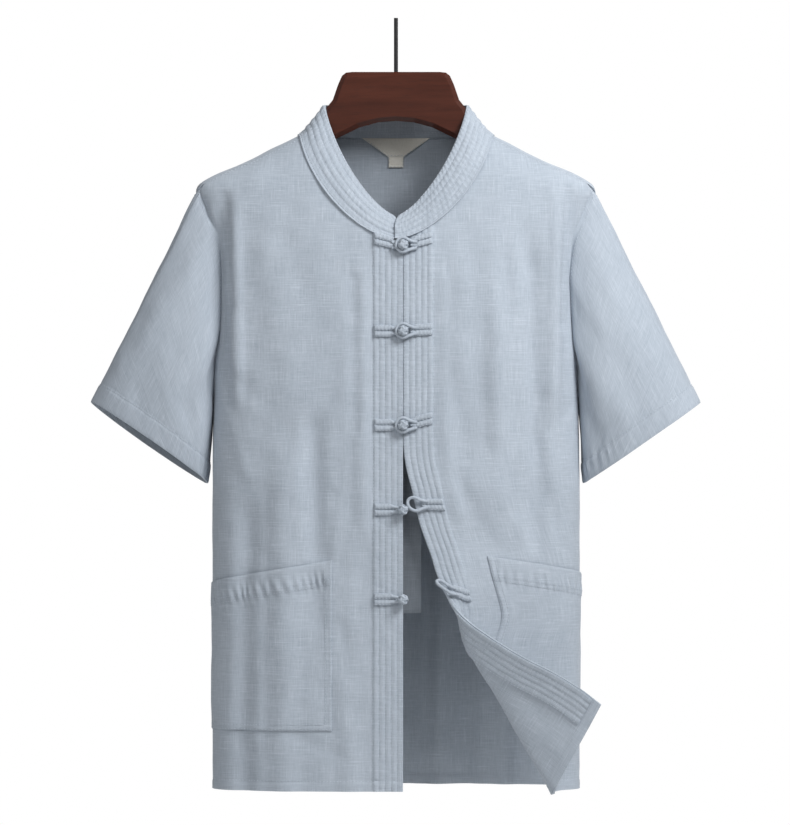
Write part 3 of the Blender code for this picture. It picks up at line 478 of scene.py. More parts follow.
# %% The corner's rows
CORNER = table(
    "drop root fold_x fold_y turn edge_x edge_drop edge_y",
    (472, 120, 66.0, -72, 0, 8.4, 472, -70),
    (527, 130, 70.0, -74, 4, 16.0, 527, -73),
    (580, 138, 76.0, -76, 10, 27.5, 578, -76),
    (613, 144, 78.0, -78, 20, 38.5, 609, -79),
    (641, 150, 76.0, -80, 35, 47.0, 636, -83),
    (673, 156, 72.0, -83, 62, 61.5, 664, -91),
    (706, 165, 76.5, -87, 84, 84.5, 687, -102),
    (728, 172, 86.5, -89, 88, 103.5, 700, -108),
    (779, 184, 118.0, -92, 90, 147.0, 726, -118),
    (811, 190, 136.0, -94, 90, 175.5, 740, -122),
    (844, 194, 155.0, -96, 90, 204.0, 757, -125),
    (877, 198, 176.5, -97, 90, 229.0, 776, -126),
)
CORNER_TOP = 472.0
CORNER_BLEND = 70.0
CORNER_RISE = 0.55
CORNER_ROLL = 9.0


def bend(start, first, second, end, count=41):
    """Points on the smooth curve from start to end that is drawn by two guides."""
    part = np.linspace(0.0, 1.0, count)[:, None]
    rest = 1.0 - part
    return rest**3 * start + 3 * rest**2 * part * first + 3 * rest * part**2 * second + part**3 * end


def corner_row(drop):
    """A row of the corner from its free edge to its root, as (distance along the cloth, points)."""
    root_along = at(CORNER, "root", drop)
    root, beside = ring_row(FRONT, drop, [root_along, root_along - 4.0])
    fold = np.array([at(CORNER, "fold_x", drop), at(CORNER, "fold_y", drop), -drop])
    edge = np.array([at(CORNER, "edge_x", drop), at(CORNER, "edge_y", drop), -at(CORNER, "edge_drop", drop)])
    turn = np.radians(at(CORNER, "turn", drop))
    heading = np.array([-np.cos(turn), -np.sin(turn), CORNER_RISE * np.sin(turn)])
    heading /= np.linalg.norm(heading)
    start = (beside - root) / np.linalg.norm(beside - root)
    rising = (edge - fold) / np.linalg.norm(edge - fold)
    lead = 0.55 * np.linalg.norm(fold - root)
    roll = min(CORNER_ROLL, 0.35 * np.linalg.norm(edge - fold))
    before = bend(root, root + start * lead, fold - heading * CORNER_ROLL, fold)
    after = bend(fold, fold + heading * roll, edge - rising * 0.4 * np.linalg.norm(edge - fold), edge)
    points = np.concatenate([before, after[1:]])[::-1]
    lengths = np.linalg.norm(np.diff(points, axis=0), axis=1)
    return CENTRE_FRONT + np.concatenate([[0.0], np.cumsum(lengths)]), points


SHIFT_DROPS = (450, 495, 540, 582, 606, 628, 648, 685, 720, 760, 800, 838, 877)
SIDE_SHIFTS = [0.0] + [at(CORNER, "root", drop) - corner_row(drop)[0][-1] for drop in SHIFT_DROPS[1:]]


def side_shift(side, drop):
    """How far the turned corner draws the side seam round to the back."""
    return 0.0 if side == RIGHT else float(np.interp(drop, SHIFT_DROPS, SIDE_SHIFTS))


def front_row(side, drop, reaches):
    """Points of a front's inner face at distances from the garment's centre line."""
    if side == RIGHT or drop < CORNER_TOP:
        return ring_row(FRONT, drop, side * reaches)
    cloth, points = corner_row(drop)
    curved = np.stack([np.interp(reaches, cloth, points[:, axis]) for axis in range(3)], axis=-1)
    heading = (points[0] - points[3]) / np.linalg.norm(points[0] - points[3])
    before = points[0] + heading * (cloth[0] - reaches)[:, None]
    shift = at(CORNER, "root", drop) - cloth[-1]
    shift += (side_shift(side, drop) - shift) * ease((reaches - cloth[-1]) / 60.0)
    beyond = ring_row(FRONT, drop, reaches + shift)
    row = np.where((reaches >= cloth[-1])[:, None], beyond, curved)
    row = np.where((reaches < cloth[0])[:, None], before, row)
    hanging = ring_row(FRONT, drop, reaches + side_shift(side, drop) * ease(reaches / 200.0))
    mix = ease((drop - CORNER_TOP) / CORNER_BLEND)
    return hanging * (1 - mix) + row * mix


print("the corner's lowest row of cloth is", round(corner_row(HEM_DROP)[0][-1]), "mm long")

# %% [markdown]
# ## One surface to work on
#
# Pockets, straps and stitches all lie on a panel, so each panel becomes a fine map: give it a drop and a
# reach, and it gives the point there. Creases are a second, thin layer on the map. Each is a trough or a
# ridge drawn between two places, and fades softly. Carving them as shape, and not as a bump in the
# material, makes them catch the light from every side.

# %% Creases
CREASES = {
    "front_right": (
        # reach, drop, to reach, to drop, half width, height
        (196, 205, 190, 330, 9, -2.6),
        (180, 215, 178, 400, 12, 1.8),
        (200, 330, 196, 440, 8, -1.6),
        (46, 300, 44, 470, 7, -1.4),
        (58, 330, 56, 520, 11, 1.0),
        (96, 470, 84, 610, 13, -1.9),
        (112, 520, 104, 612, 10, 1.4),
        (70, 540, 78, 618, 6, -1.0),
        (150, 470, 160, 600, 16, -1.2),
        (48, 590, 52, 700, 9, 1.0),
        (60, 690, 50, 790, 10, -1.2),
        (120, 812, 60, 838, 9, -0.9),
        (160, 822, 200, 850, 9, 0.8),
        (128, 250, 96, 330, 14, -0.8),
        (150, 270, 120, 420, 18, 0.9),
        (184, 410, 120, 470, 12, -0.8),
        (204, 420, 170, 520, 9, 1.0),
    ),
    "front_left": (
        (198, 200, 192, 350, 9, -3.0),
        (180, 210, 176, 420, 12, 1.9),
        (196, 350, 200, 470, 8, -1.8),
        (54, 300, 56, 560, 10, 1.7),
        (76, 320, 74, 500, 12, -1.2),
        (112, 250, 104, 470, 13, 1.3),
        (126, 280, 122, 560, 11, -1.5),
        (148, 300, 150, 520, 12, 1.0),
        (160, 480, 168, 600, 10, -1.6),
        (182, 500, 176, 602, 9, 1.2),
        (140, 520, 132, 600, 9, -1.0),
        (206, 440, 178, 470, 8, -1.0),
        (60, 520, 90, 600, 12, -0.9),
        (196, 690, 206, 860, 12, -1.0),
        (216, 660, 222, 850, 9, 1.0),
    ),
    "back": (
        (-186, 210, -178, 400, 10, -2.2),
        (184, 208, 180, 390, 10, -2.4),
        (-168, 230, -160, 420, 13, 1.5),
        (166, 225, 160, 430, 13, 1.4),
        (-60, 190, -90, 330, 16, -1.0),
        (40, 180, 70, 340, 18, -1.1),
        (-10, 200, -4, 420, 18, 0.9),
        (-130, 420, -110, 640, 14, -1.3),
        (-84, 450, -80, 800, 15, 1.1),
        (-30, 470, -44, 700, 13, -1.1),
        (26, 520, 34, 820, 15, 1.2),
        (84, 430, 66, 640, 14, -1.4),
        (128, 470, 138, 780, 15, 1.2),
        (176, 480, 150, 620, 11, -1.1),
        (-190, 430, -150, 520, 10, -1.0),
        (-160, 700, -150, 860, 13, -1.0),
        (100, 700, 108, 862, 13, -1.1),
    ),
}


def crease_height(rows, drop, reach):
    """The troughs and ridges of a table, all added up."""
    total = np.zeros(np.broadcast(drop, reach).shape)
    for reach_0, drop_0, reach_1, drop_1, width, height in rows:
        run, fall = reach_1 - reach_0, drop_1 - drop_0
        part = np.clip(((reach - reach_0) * run + (drop - drop_0) * fall) / (run**2 + fall**2), 0.0, 1.0)
        away = np.hypot(reach - reach_0 - part * run, drop - drop_0 - part * fall) / width
        total += height * np.exp(-1.3 * away**2)
    return total


def cockle(drop, reach, start):
    """The slight waviness that linen keeps after pressing."""
    return (
        0.34 * np.sin(reach / 9.7 + drop / 47.0 + start)
        + 0.30 * np.sin(drop / 14.3 - reach / 31.0 + 2.1 * start)
        + 0.16 * np.sin(reach / 5.3 - drop / 19.0 + 0.7 * start)
        + 0.12 * np.sin(drop / 5.9 + reach / 11.0 + 1.3 * start)
    )


print("creases placed by hand:", sum(len(rows) for rows in CREASES.values()))

# %% [markdown]
# ## Panels
#
# A panel is rows and columns of points. Its columns are close together in the band beside the front edge,
# where rows of stitching pull the cloth into five little puckered channels, and wider apart elsewhere.

# %% The panel and its bands
WALL = 1.5
BAND_WIDTH = 34.0
BAND_CHANNELS = 5
HEM_DEPTH = 11.5
LOOK_DROPS = np.arange(128.0, 881.0, 1.0)


def puckers(distance, spot, start):
    """How strongly a gathered seam swells, along its length and from channel to channel."""
    wave = np.sin(distance * 0.86 + 2.4 * spot + 0.9 * np.sin(distance / 17.0 + spot) + start)
    slow = np.sin(distance * 0.23 + 1.7 * spot + start)
    return 1.0 + 0.34 * wave + 0.16 * slow


def channels(across, width, count, distance, start):
    """Stitched channels side by side: 0 at each line of stitching and about 1 between them."""
    spot = np.clip(np.floor(across / width * count), 0, count - 1)
    phase = np.clip(across / width, 0.0, 1.0) * count
    return np.abs(np.sin(np.pi * phase)) ** 0.6 * puckers(distance, spot, start)


QUIET_EDGE = 16.0


class Panel:
    """A front or the back as a map from a drop and a reach to a point on the cloth."""

    def __init__(self, name, side, reaches, rows, edges, has_band):
        self.name, self.side, self.reaches, self.has_band = name, side, reaches, has_band
        self.edge_tables = edges
        self.points = np.array(rows)
        across, down = np.gradient(self.points, axis=1), np.gradient(self.points, axis=0)
        outward = np.cross(down, across) * (side if has_band else 1.0)
        if not has_band:
            outward *= np.sign(outward[400, len(reaches) // 2, 1])
        self.outward = outward / np.maximum(np.linalg.norm(outward, axis=2), 1e-9)[:, :, None]
        self.start = sum(map(ord, name)) % 7

    def read(self, values, drop, reach):
        """Values of the map at drops and reaches, straight between its rows and columns."""
        drop, reach = np.broadcast_arrays(np.asarray(drop, float), np.asarray(reach, float))
        row = np.clip(drop - LOOK_DROPS[0], 0, len(LOOK_DROPS) - 1.001)
        column = (reach - self.reaches[0]) / (self.reaches[1] - self.reaches[0])
        column = np.clip(column, 0, len(self.reaches) - 1.001)
        top, before = row.astype(int), column.astype(int)
        down, over = (row - top)[..., None], (column - before)[..., None]
        upper = values[top, before] * (1 - over) + values[top, before + 1] * over
        lower = values[top + 1, before] * (1 - over) + values[top + 1, before + 1] * over
        return upper * (1 - down) + lower * down

    def edges(self, drop, reach=1.0):
        """The reach of the outer edge at a drop, on the side where the reach lies."""
        right = np.interp(drop, LOOK_DROPS, self.edge_tables[RIGHT])
        left = np.interp(drop, LOOK_DROPS, self.edge_tables[LEFT])
        return np.where(np.asarray(reach) > 0, left, right)

    def fold_height(self, drop, reach):
        """Creases and waviness, which move the whole cloth."""
        quiet = ease((reach - self.band_start()) / 50.0) * 0.85 + 0.15 if self.has_band else 1.0
        from_edge = self.edges(drop, reach) - np.abs(reach)
        from_seam = np.abs(self.read(self.points, drop, reach)[..., 1] + SHOULDER_SEAM_FORWARD)
        below_shoulder = ease((drop - 205.0) / 20.0)
        near_edge, near_seam = ease(from_edge / QUIET_EDGE), ease(from_seam / QUIET_EDGE)
        quiet = quiet * (below_shoulder * near_edge + (1 - below_shoulder) * near_seam)
        seam = -1.3 * np.exp(-((from_edge / 3.2) ** 2)) * below_shoulder
        total = crease_height(CREASES[self.name], drop, reach) + cockle(drop, reach, self.start)
        return total * quiet + seam

    def band_start(self):
        return CENTRE_FRONT if self.side == LEFT else -CENTRE_FRONT

    def band_height(self, drop, reach):
        """The stitched band, the hem and their puckers, which thicken the cloth."""
        hem = ease((drop - HEM_DROP + HEM_DEPTH) / 1.6) * 0.55
        dent = -0.5 * np.exp(-(((drop - HEM_DROP + HEM_DEPTH) / 1.1) ** 2)) * (1 + 0.4 * np.sin(reach * 0.9))
        total = hem + dent
        if self.has_band:
            across = reach - self.band_start()
            inside = ease((BAND_WIDTH - across) / 1.1) * ease((across + 0.5) / 0.9)
            swell = channels(across, BAND_WIDTH, BAND_CHANNELS, drop, self.start)
            total = total + inside * (0.5 + 1.0 * swell)
        return total

    def on(self, drop, reach, height):
        """Points at a height above the outer face. A height of less than -WALL is inside."""
        lift = WALL + self.fold_height(drop, reach) + height
        if np.all(np.asarray(height) > -0.5):
            lift = lift + self.band_height(drop, reach)
        return self.read(self.points, drop, reach) + self.read(self.outward, drop, reach) * lift[..., None]

    def above(self, drop, reach, height):
        """Points at a height above the cloth, as if its bands were flat."""
        lift = np.asarray(WALL + self.fold_height(drop, reach) + height)
        return self.read(self.points, drop, reach) + self.read(self.outward, drop, reach) * lift[..., None]


def edge_table(side_of_ring, side):
    """A panel's outer edge as a function of the drop."""
    edges = [edge_along(side_of_ring, drop) for drop in LOOK_DROPS]
    shift = np.array([side_shift(side, drop) for drop in LOOK_DROPS])
    return np.array(edges) - shift


FRONT_REACHES = np.arange(-40.0, 300.0, 1.5)
BACK_REACHES = np.arange(-300.0, 300.5, 1.5)
front = {}
for side, side_name in ((RIGHT, "right"), (LEFT, "left")):
    map_rows = [front_row(side, drop, FRONT_REACHES) for drop in LOOK_DROPS]
    edges = {RIGHT: edge_table(FRONT, side), LEFT: edge_table(FRONT, side)}
    front[side] = Panel(f"front_{side_name}", side, FRONT_REACHES, map_rows, edges, True)
back_edges = {side: edge_table(BACK, side) for side in (RIGHT, LEFT)}
back_rows = [ring_row(BACK, drop, BACK_REACHES) for drop in LOOK_DROPS]
back = Panel("back", BACK, BACK_REACHES, back_rows, back_edges, False)
print("map rows:", len(LOOK_DROPS), "and front columns:", len(FRONT_REACHES))

# %% [markdown]
# ## From points to cloth
#
# Each cloth piece is a thin closed shell: an outer face, an inner face and a rim. The rows of both faces
# are joined by four-sided faces, which Blender shades smoothly. Every point also remembers its place on the
# flat cloth, which the linen material reads.

# %% A cloth shell
pieces = {}


def make_mesh(name, points, faces, material, cloth=None, sharp=40):
    """A mesh object from points in millimetres, riding on the garment's body."""
    mesh = bpy.data.meshes.new(name)
    mesh.from_pydata((np.asarray(points) * MM).tolist(), [], np.asarray(faces).tolist())
    if cloth is not None:
        layer = mesh.attributes.new("cloth", "FLOAT_VECTOR", "POINT")
        layer.data.foreach_set("vector", np.ascontiguousarray(cloth * MM, dtype=np.float32).ravel())
    mesh.materials.append(material)
    mesh.validate()
    mesh.shade_smooth()
    mesh.set_sharp_from_angle(angle=math.radians(sharp))
    piece = bpy.data.objects.new(name, mesh)
    bpy.context.scene.collection.objects.link(piece)
    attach(piece, "root")
    pieces[name] = piece
    return piece


def shell_faces(rows, columns, closed):
    """Quads of an outer grid, of the inner grid behind it, and of the rim that joins them."""
    index = np.arange(rows * columns).reshape(rows, columns)
    if closed:
        index = np.concatenate([index, index[:, :1]], axis=1)
    size = rows * columns
    quads = np.stack([index[:-1, :-1], index[1:, :-1], index[1:, 1:], index[:-1, 1:]], axis=-1).reshape(-1, 4)
    faces = [quads, quads[:, ::-1] + size]
    borders = [index[0, ::-1], index[-1, :]]
    if not closed:
        borders += [index[:, 0], index[::-1, -1]]
    for border in borders:
        faces.append(np.stack([border[:-1], border[:-1] + size, border[1:] + size, border[1:]], axis=-1))
    return np.concatenate(faces)


def shell(name, outer, inner, cloth, material, slot, closed=False, stands_for=()):
    """A shell between two grids of points."""
    rows, columns = outer.shape[:2]
    points = np.concatenate([outer.reshape(-1, 3), inner.reshape(-1, 3)])
    faces = shell_faces(rows, columns, closed)
    quad = points[faces[: (rows - 1) * (columns - (0 if closed else 1))]]
    facing = np.cross(quad[:, 2] - quad[:, 0], quad[:, 3] - quad[:, 1])
    thick = (outer - inner).reshape(-1, 3)[faces[: len(quad), 0]]
    if np.sum(facing * thick) < 0:
        faces = faces[:, ::-1]
    flat = np.zeros((rows * columns, 3))
    flat[:, :2] = cloth.reshape(-1, 2)
    piece = make_mesh(name, points, faces, material, np.concatenate([flat, flat]))
    if stands_for:
        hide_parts(*stands_for)
    return piece


def spans(grid):
    """The longest row, the longest column and the area of a grid of points, in metres."""
    across = np.linalg.norm(np.diff(grid, axis=1), axis=2).sum(axis=1).max()
    down = np.linalg.norm(np.diff(grid, axis=0), axis=2).sum(axis=0).max()
    first, second = grid[1:, 1:] - grid[:-1, :-1], grid[1:, :-1] - grid[:-1, 1:]
    area = np.linalg.norm(np.cross(first, second), axis=2).sum() / 2
    return across * MM, down * MM, area * MM * MM


def normals(grid, closed=False):
    """Directions square to a grid of points."""
    if closed:
        wide = np.concatenate([grid[:, -1:], grid, grid[:, :1]], axis=1)
        across = np.gradient(wide, axis=1)[:, 1:-1]
    else:
        across = np.gradient(grid, axis=1)
    square = np.cross(across, np.gradient(grid, axis=0))
    return square / np.maximum(np.linalg.norm(square, axis=2), 1e-9)[:, :, None]


# %% [markdown]
# ## Sewing thread
#
# Topstitching is a row of short raised threads that dive into the cloth. Each stitch here is a small
# spindle on the surface. All the stitches of a piece go into one mesh, so that thousands of them stay
# light.

# %% Stitches
STITCH = 2.6
STITCH_STEP = 3.9
THREAD_RADIUS = 0.36
seams = {}


def stitch_along(piece_name, line, outward):
    """Stitches along a line of points, with the outward direction at each point."""
    line, outward = np.asarray(line), np.asarray(outward)
    lengths = np.concatenate([[0.0], np.cumsum(np.linalg.norm(np.diff(line, axis=0), axis=1))])
    starts = np.arange(0.6, lengths[-1] - STITCH, STITCH_STEP)
    parts = ((0.0, -0.35, 0.1), (0.22, 0.5, 0.9), (0.78, 0.5, 0.9), (1.0, -0.35, 0.1))
    rings = []
    for part, lift, width in parts:
        marks = starts + STITCH * part
        middle = np.stack([np.interp(marks, lengths, line[:, axis]) for axis in range(3)], axis=-1)
        up = np.stack([np.interp(marks, lengths, outward[:, axis]) for axis in range(3)], axis=-1)
        ahead = np.stack([np.interp(marks + 0.5, lengths, line[:, axis]) for axis in range(3)], axis=-1)
        ahead = ahead - middle
        side = np.cross(up, ahead)
        side /= np.maximum(np.linalg.norm(side, axis=1), 1e-9)[:, None]
        middle = middle + up * (THREAD_RADIUS * lift)
        turn = [np.pi / 4 + np.pi / 2 * corner for corner in range(4)]
        ring_points = [middle + THREAD_RADIUS * width * (np.cos(a) * side + np.sin(a) * up) for a in turn]
        rings.append(np.stack(ring_points, axis=1))
    seams.setdefault(piece_name, []).append(np.stack(rings, axis=1).reshape(-1, 3))


def sew(piece_name):
    """One mesh with all the stitches of a piece."""
    points = np.concatenate(seams[piece_name])
    one = []
    for level in range(3):
        for corner in range(4):
            after = (corner + 1) % 4
            one.append((level * 4 + corner, level * 4 + after, level * 4 + 4 + after, level * 4 + 4 + corner))
    one += [(3, 2, 1, 0), (12, 13, 14, 15)]
    faces = (np.arange(len(points) // 16)[:, None, None] * 16 + np.array(one)).reshape(-1, 4)
    thread = make_mesh(f"{piece_name}_stitches", points, faces, thread_finish, sharp=80)
    return thread


def stitch_on(panel, drops, reaches, piece_name=None, height=0.0):
    """Stitches on a panel's outer face, along drops and reaches."""
    drops, reaches = np.broadcast_arrays(np.asarray(drops, float), np.asarray(reaches, float))
    line = panel.on(drops, reaches, np.full(drops.shape, height))
    stitch_along(piece_name or panel.name, line, panel.read(panel.outward, drops, reaches))


# %% [markdown]
# ## The two fronts
#
# A front starts at the neck and the shoulder seam and ends at the hem. Its columns keep their reach down to
# the hem, except those near the armhole, which spread out to follow its edge. Rows are spaced evenly along
# the cloth.

# %% The fronts
PANEL_ROWS = 262
BAND_COLUMNS = 40


def even_rows(panel, drops, reaches, rows=PANEL_ROWS):
    """The same columns, as drops and reaches, with their rows at equal distances along the cloth."""
    path = panel.read(panel.points, drops, reaches)
    steps = np.linalg.norm(np.diff(path, axis=0), axis=2)
    lengths = np.concatenate([np.zeros((1, drops.shape[1])), np.cumsum(steps, axis=0)])
    marks = np.linspace(0.0, 1.0, rows)

    def spread(values):
        columns = range(values.shape[1])
        even = [np.interp(marks * lengths[-1, c], lengths[:, c], values[:, c]) for c in columns]
        return np.stack(even, axis=1)

    return spread(drops), spread(reaches)


def neckline_on(panel, reach):
    """The drop at which the front neckline crosses a reach."""
    drops = np.arange(SHOULDER_POINT_DROP, SHOULDER_POINT_DROP + FRONT_NECK_DEPTH, 0.25)
    inside = np.abs(panel.read(panel.points, drops, reach)[:, 0]) < neckline_half_width(drops)
    return float(drops[np.argmin(inside)]) if not inside.all() else float(drops[-1])


def cut_front(panel):
    """The drops and reaches of a front's grid."""
    start = panel.band_start() + 0.15
    seam = [seam_point(x) for x in np.linspace(NECK_HALF_WIDTH, SHOULDER_FULL, 28)]
    outer = [seam_point(x) for x in np.linspace(SHOULDER_FULL, SHOULDER_END, 15)[1:]]
    band = np.linspace(start, start + BAND_WIDTH, BAND_COLUMNS + 1)
    first_seam = seam[0][1] - 0.2
    middle = np.linspace(band[-1], first_seam, int((first_seam - band[-1]) / 2.6) + 1)[1:-1]
    reaches = np.concatenate([band, middle, [reach - 0.2 for _, reach in seam]])
    tops = np.array([neckline_on(panel, reach) for reach in np.concatenate([band, middle])]
                    + [drop for drop, _ in seam + outer])
    last = reaches[-1]
    parts = np.concatenate([np.zeros(len(reaches)), np.linspace(0.0, 1.0, 15)[1:]])
    fixed = np.concatenate([reaches, np.full(len(outer), last)])

    def spread_to_edge(drops):
        return fixed + parts * (panel.edges(drops) - last)

    at_seam = np.concatenate([reaches, [reach - 0.2 for _, reach in outer]])
    past = (at_seam - spread_to_edge(tops)) * (parts > 0)

    part = np.linspace(0.0, 1.0, 500)[:, None]
    drops = tops * (1 - part) + HEM_DROP * part
    return even_rows(panel, drops, spread_to_edge(drops) + past * (1 - ease((drops - tops) / SHOULDER_BLEND)))


def make_front(side, side_name):
    panel = front[side]
    drops, reaches = cut_front(panel)
    flat = np.stack([reaches, drops], axis=-1)
    level = np.zeros(drops.shape)
    outer = panel.on(drops, reaches, level)
    turned_hem = 0.8 * ease((drops - HEM_DROP + HEM_DEPTH) / 1.2)
    inner = panel.on(drops, reaches, level - WALL - turned_hem)
    name = f"linen_front_{side_name}"
    shell(name, outer, inner, flat, linen_cloth, "linen", stands_for=(f"front_{side_name}",))
    width, length, area = cuts[name] = spans(outer)
    print(name, "is cut", round(width, 3), "by", round(length, 3), "m, area", round(area, 4), "square metres")
    return name


cuts = {}
for side, side_name in ((RIGHT, "right"), (LEFT, "left")):
    name = make_front(side, side_name)
    panel = front[side]
    start = panel.band_start()
    top = neckline_on(panel, start + 20.0) + 3.0
    for line in range(BAND_CHANNELS + 1):
        at_reach = start + BAND_WIDTH / BAND_CHANNELS * line + (1.3 if line == 0 else 0.0)
        drops = np.arange(max(top - 4.0 * line, 250.0), HEM_DROP - 2.0, 2.0)
        stitch_on(panel, drops, at_reach, name, 0.15)
    hem_reaches = np.arange(start + BAND_WIDTH, panel.edges(870.0) - 2.0, 2.0)
    stitch_on(panel, HEM_DROP - HEM_DEPTH, hem_reaches, name, 0.3)
    seam = np.array([seam_point(x) for x in np.linspace(NECK_HALF_WIDTH + 2.0, SHOULDER_END - 4.0, 40)])
    stitch_on(panel, seam[:, 0] + 1.4, seam[:, 1] - 2.0, name, 0.1)
print("stitched the bands, hems and shoulder seams of the fronts")

# %% [markdown]
# ## The back
#
# The back is one piece. It runs over the ridge of each shoulder to the seam, and its soft folds hang from
# the shoulder blades. The photo shows only its inside, so its outside follows the fronts: the same hem, and
# creases of the same kind.

# %% The back


def seam_path(x, ridge):
    """The back's path over the shoulder, from the seam to a drop on the ridge."""
    seam_drop, seam_along = seam_point(x)
    past_ridge = quarter(FRONT, seam_drop) - seam_along
    drops, alongs = [], []
    for part in np.linspace(0.01, 1.0, 9)[:-1]:
        drops.append(seam_drop + (ridge - seam_drop) * part)
        alongs.append(quarter(BACK, drops[-1]) + past_ridge * (1 - part))
    return drops, alongs


def back_column(side, x=None, along=None):
    """One column of the back as 500 drops and alongs."""
    shift = lambda drop: side_shift(side, drop)
    if x is None:
        top = back_neck_drop(along)
        drops = np.linspace(top, HEM_DROP, 500)
        squeeze = np.array([1 - shift(drop) / quarter(BACK, drop) for drop in drops])
        return drops, abs(along) * squeeze
    part = max(0.0, (x - SHOULDER_FULL) / (SHOULDER_END - SHOULDER_FULL))
    ridge_x = x if part == 0.0 else SHOULDER_FULL + part * (RIDGE_END - SHOULDER_FULL)
    ridge = ridge_drop(ridge_x)
    head_drops, head_alongs = seam_path(x, ridge)
    side_reach = quarter(BACK, ridge)
    inner_reach = quarter(BACK, ridge_drop(min(x, SHOULDER_FULL)))
    drops = np.linspace(ridge, HEM_DROP, 500 - len(head_drops))
    reaches = []
    for drop in drops:
        near = inner_reach * (1 - shift(drop) / quarter(BACK, drop))
        reach = near + part * (edge_along(BACK, drop) - shift(drop) - near)
        mix = float(ease((drop - ridge) / SHOULDER_BLEND)) if part > 0.0 else 1.0
        reaches.append(side_reach * (1 - mix) + reach * mix)
    return np.concatenate([head_drops, drops]), np.concatenate([head_alongs, reaches])


neck_limit = quarter(BACK, SHOULDER_POINT_DROP) - 4.0
columns = []
for side in (RIGHT, LEFT):
    half = []
    for along in np.linspace(0.0, neck_limit, 40)[1 if side == LEFT else 0:]:
        half.append(back_column(side, along=along))
    for x in np.linspace(NECK_HALF_WIDTH, SHOULDER_END, 42):
        half.append(back_column(side, x=x))
    half = [(drops, side * reaches) for drops, reaches in half]
    columns += half[::-1] if side == RIGHT else half
drops, reaches = even_rows(back, *(np.stack(values, axis=1) for values in zip(*columns)))
back_flat = np.stack([reaches, drops], axis=-1)
level = np.zeros(drops.shape)
back_outer = back.on(drops, reaches, level)
hem_turn = 0.8 * ease((drops - HEM_DROP + HEM_DEPTH) / 1.2)
back_inner = back.on(drops, reaches, level - WALL - hem_turn)
shell("linen_back", back_outer, back_inner, back_flat, linen_cloth, "linen", stands_for=("back",))
cuts["linen_back"] = spans(back_outer)
for side in (RIGHT, LEFT):
    hem_alongs = side * np.arange(0.0, float(back.edges(870.0, side)) - 2.0, 2.0)
    stitch_on(back, HEM_DROP - HEM_DEPTH, hem_alongs, "linen_back", 0.3)
print("the back is cut", [round(size, 3) for size in cuts["linen_back"]])

# %% [markdown]
# ## The sleeves
#
# A sleeve is a tube from the armhole to the cuff. Its head is tucked just under the edge of the body's
# cloth, as in a seam that is pressed towards the body, so a soft valley runs round the armhole. Its folds
# start at the armpit. The cuff has a turned hem, and the thread gathers it into small puckers.

# %% The sleeves
CUFF_OUTER = np.array((346.0, 439.0))
CUFF_INNER = np.array((215.0, 530.0))
CUFF_HALF_DEPTH = 39.0
CUFF_LIFT = {RIGHT: 6.0, LEFT: 0.0}
SLEEVE_FULLNESS = 13.0
SLEEVE_COLUMNS = 132
SLEEVE_ROWS = 96
CUFF_HEM = 23.0
TUCK_LENGTH, TUCK_DEPTH = 4.0, 1.9
SLEEVE_RADIUS = 54.0
SLEEVE_CREASES = {
    # turn round the arm (0 is the armpit, 90 the front, 180 the top), distance from the armhole, and to; then
    # half width and height
    RIGHT: (
        (30, 12, 62, 130, 11, -2.2),
        (52, 20, 92, 150, 12, 1.6),
        (84, 30, 118, 190, 14, -1.2),
        (20, 60, 34, 150, 9, 1.4),
        (128, 60, 150, 200, 14, 0.9),
        (60, 120, 70, 185, 12, -1.2),
        (232, 30, 250, 190, 14, -1.6),
        (270, 20, 286, 170, 13, 1.5),
        (312, 20, 300, 150, 11, -2.0),
    ),
    LEFT: (
        (26, 14, 50, 140, 10, -2.6),
        (46, 14, 84, 170, 12, 1.8),
        (78, 24, 110, 170, 13, -1.3),
        (18, 70, 30, 150, 9, 1.3),
        (124, 40, 140, 210, 15, 1.0),
        (96, 120, 100, 200, 12, -0.9),
        (226, 40, 246, 180, 14, -1.5),
        (262, 24, 280, 160, 13, 1.5),
        (316, 16, 304, 160, 11, -2.1),
    ),
}


def line_evenly(points, count, *others):
    """A line with count points at equal distances, and other lines divided at the same marks."""
    points = np.asarray(points)
    lengths = np.concatenate([[0.0], np.cumsum(np.linalg.norm(np.diff(points, axis=0), axis=1))])
    marks = np.linspace(0.0, lengths[-1], count)
    made = []
    for line in (points, *others):
        line = np.asarray(line)
        made.append(np.stack([np.interp(marks, lengths, line[:, axis]) for axis in range(3)], axis=-1))
    return made if others else made[0]


def armhole(side):
    """The armhole's edge, the line beside it and the way out, all the way round from the armpit."""
    edge, beside, outward = [], [], []
    for drop in np.linspace(ARMPIT_DROP, END_DROP, 90):
        reach = edge_along(FRONT, drop)
        edge.append(ring_row(FRONT, drop, [side * reach])[0])
        beside.append(ring_row(FRONT, drop, [side * (reach - TUCK_LENGTH)])[0])
        outward.append(front[side].read(front[side].outward, drop, reach))
    top = ridge_drop(RIDGE_END)
    for drop, reach in zip(*seam_path(SHOULDER_END, top)):
        edge.append(ring_row(BACK, drop, [side * reach])[0])
        beside.append(ring_row(BACK, drop - TUCK_LENGTH, [side * reach])[0])
        outward.append(back.read(back.outward, drop, side * reach))
    for drop in np.linspace(top, ARMPIT_DROP, 90):
        mix = float(ease((drop - top) / SHOULDER_BLEND))
        reach = quarter(BACK, top) * (1 - mix) + edge_along(BACK, drop) * mix
        edge.append(ring_row(BACK, drop, [side * reach])[0])
        beside.append(ring_row(BACK, drop, [side * (reach - TUCK_LENGTH)])[0])
        outward.append(back.read(back.outward, drop, side * reach))
    return line_evenly(edge, SLEEVE_COLUMNS + 1, beside, outward)


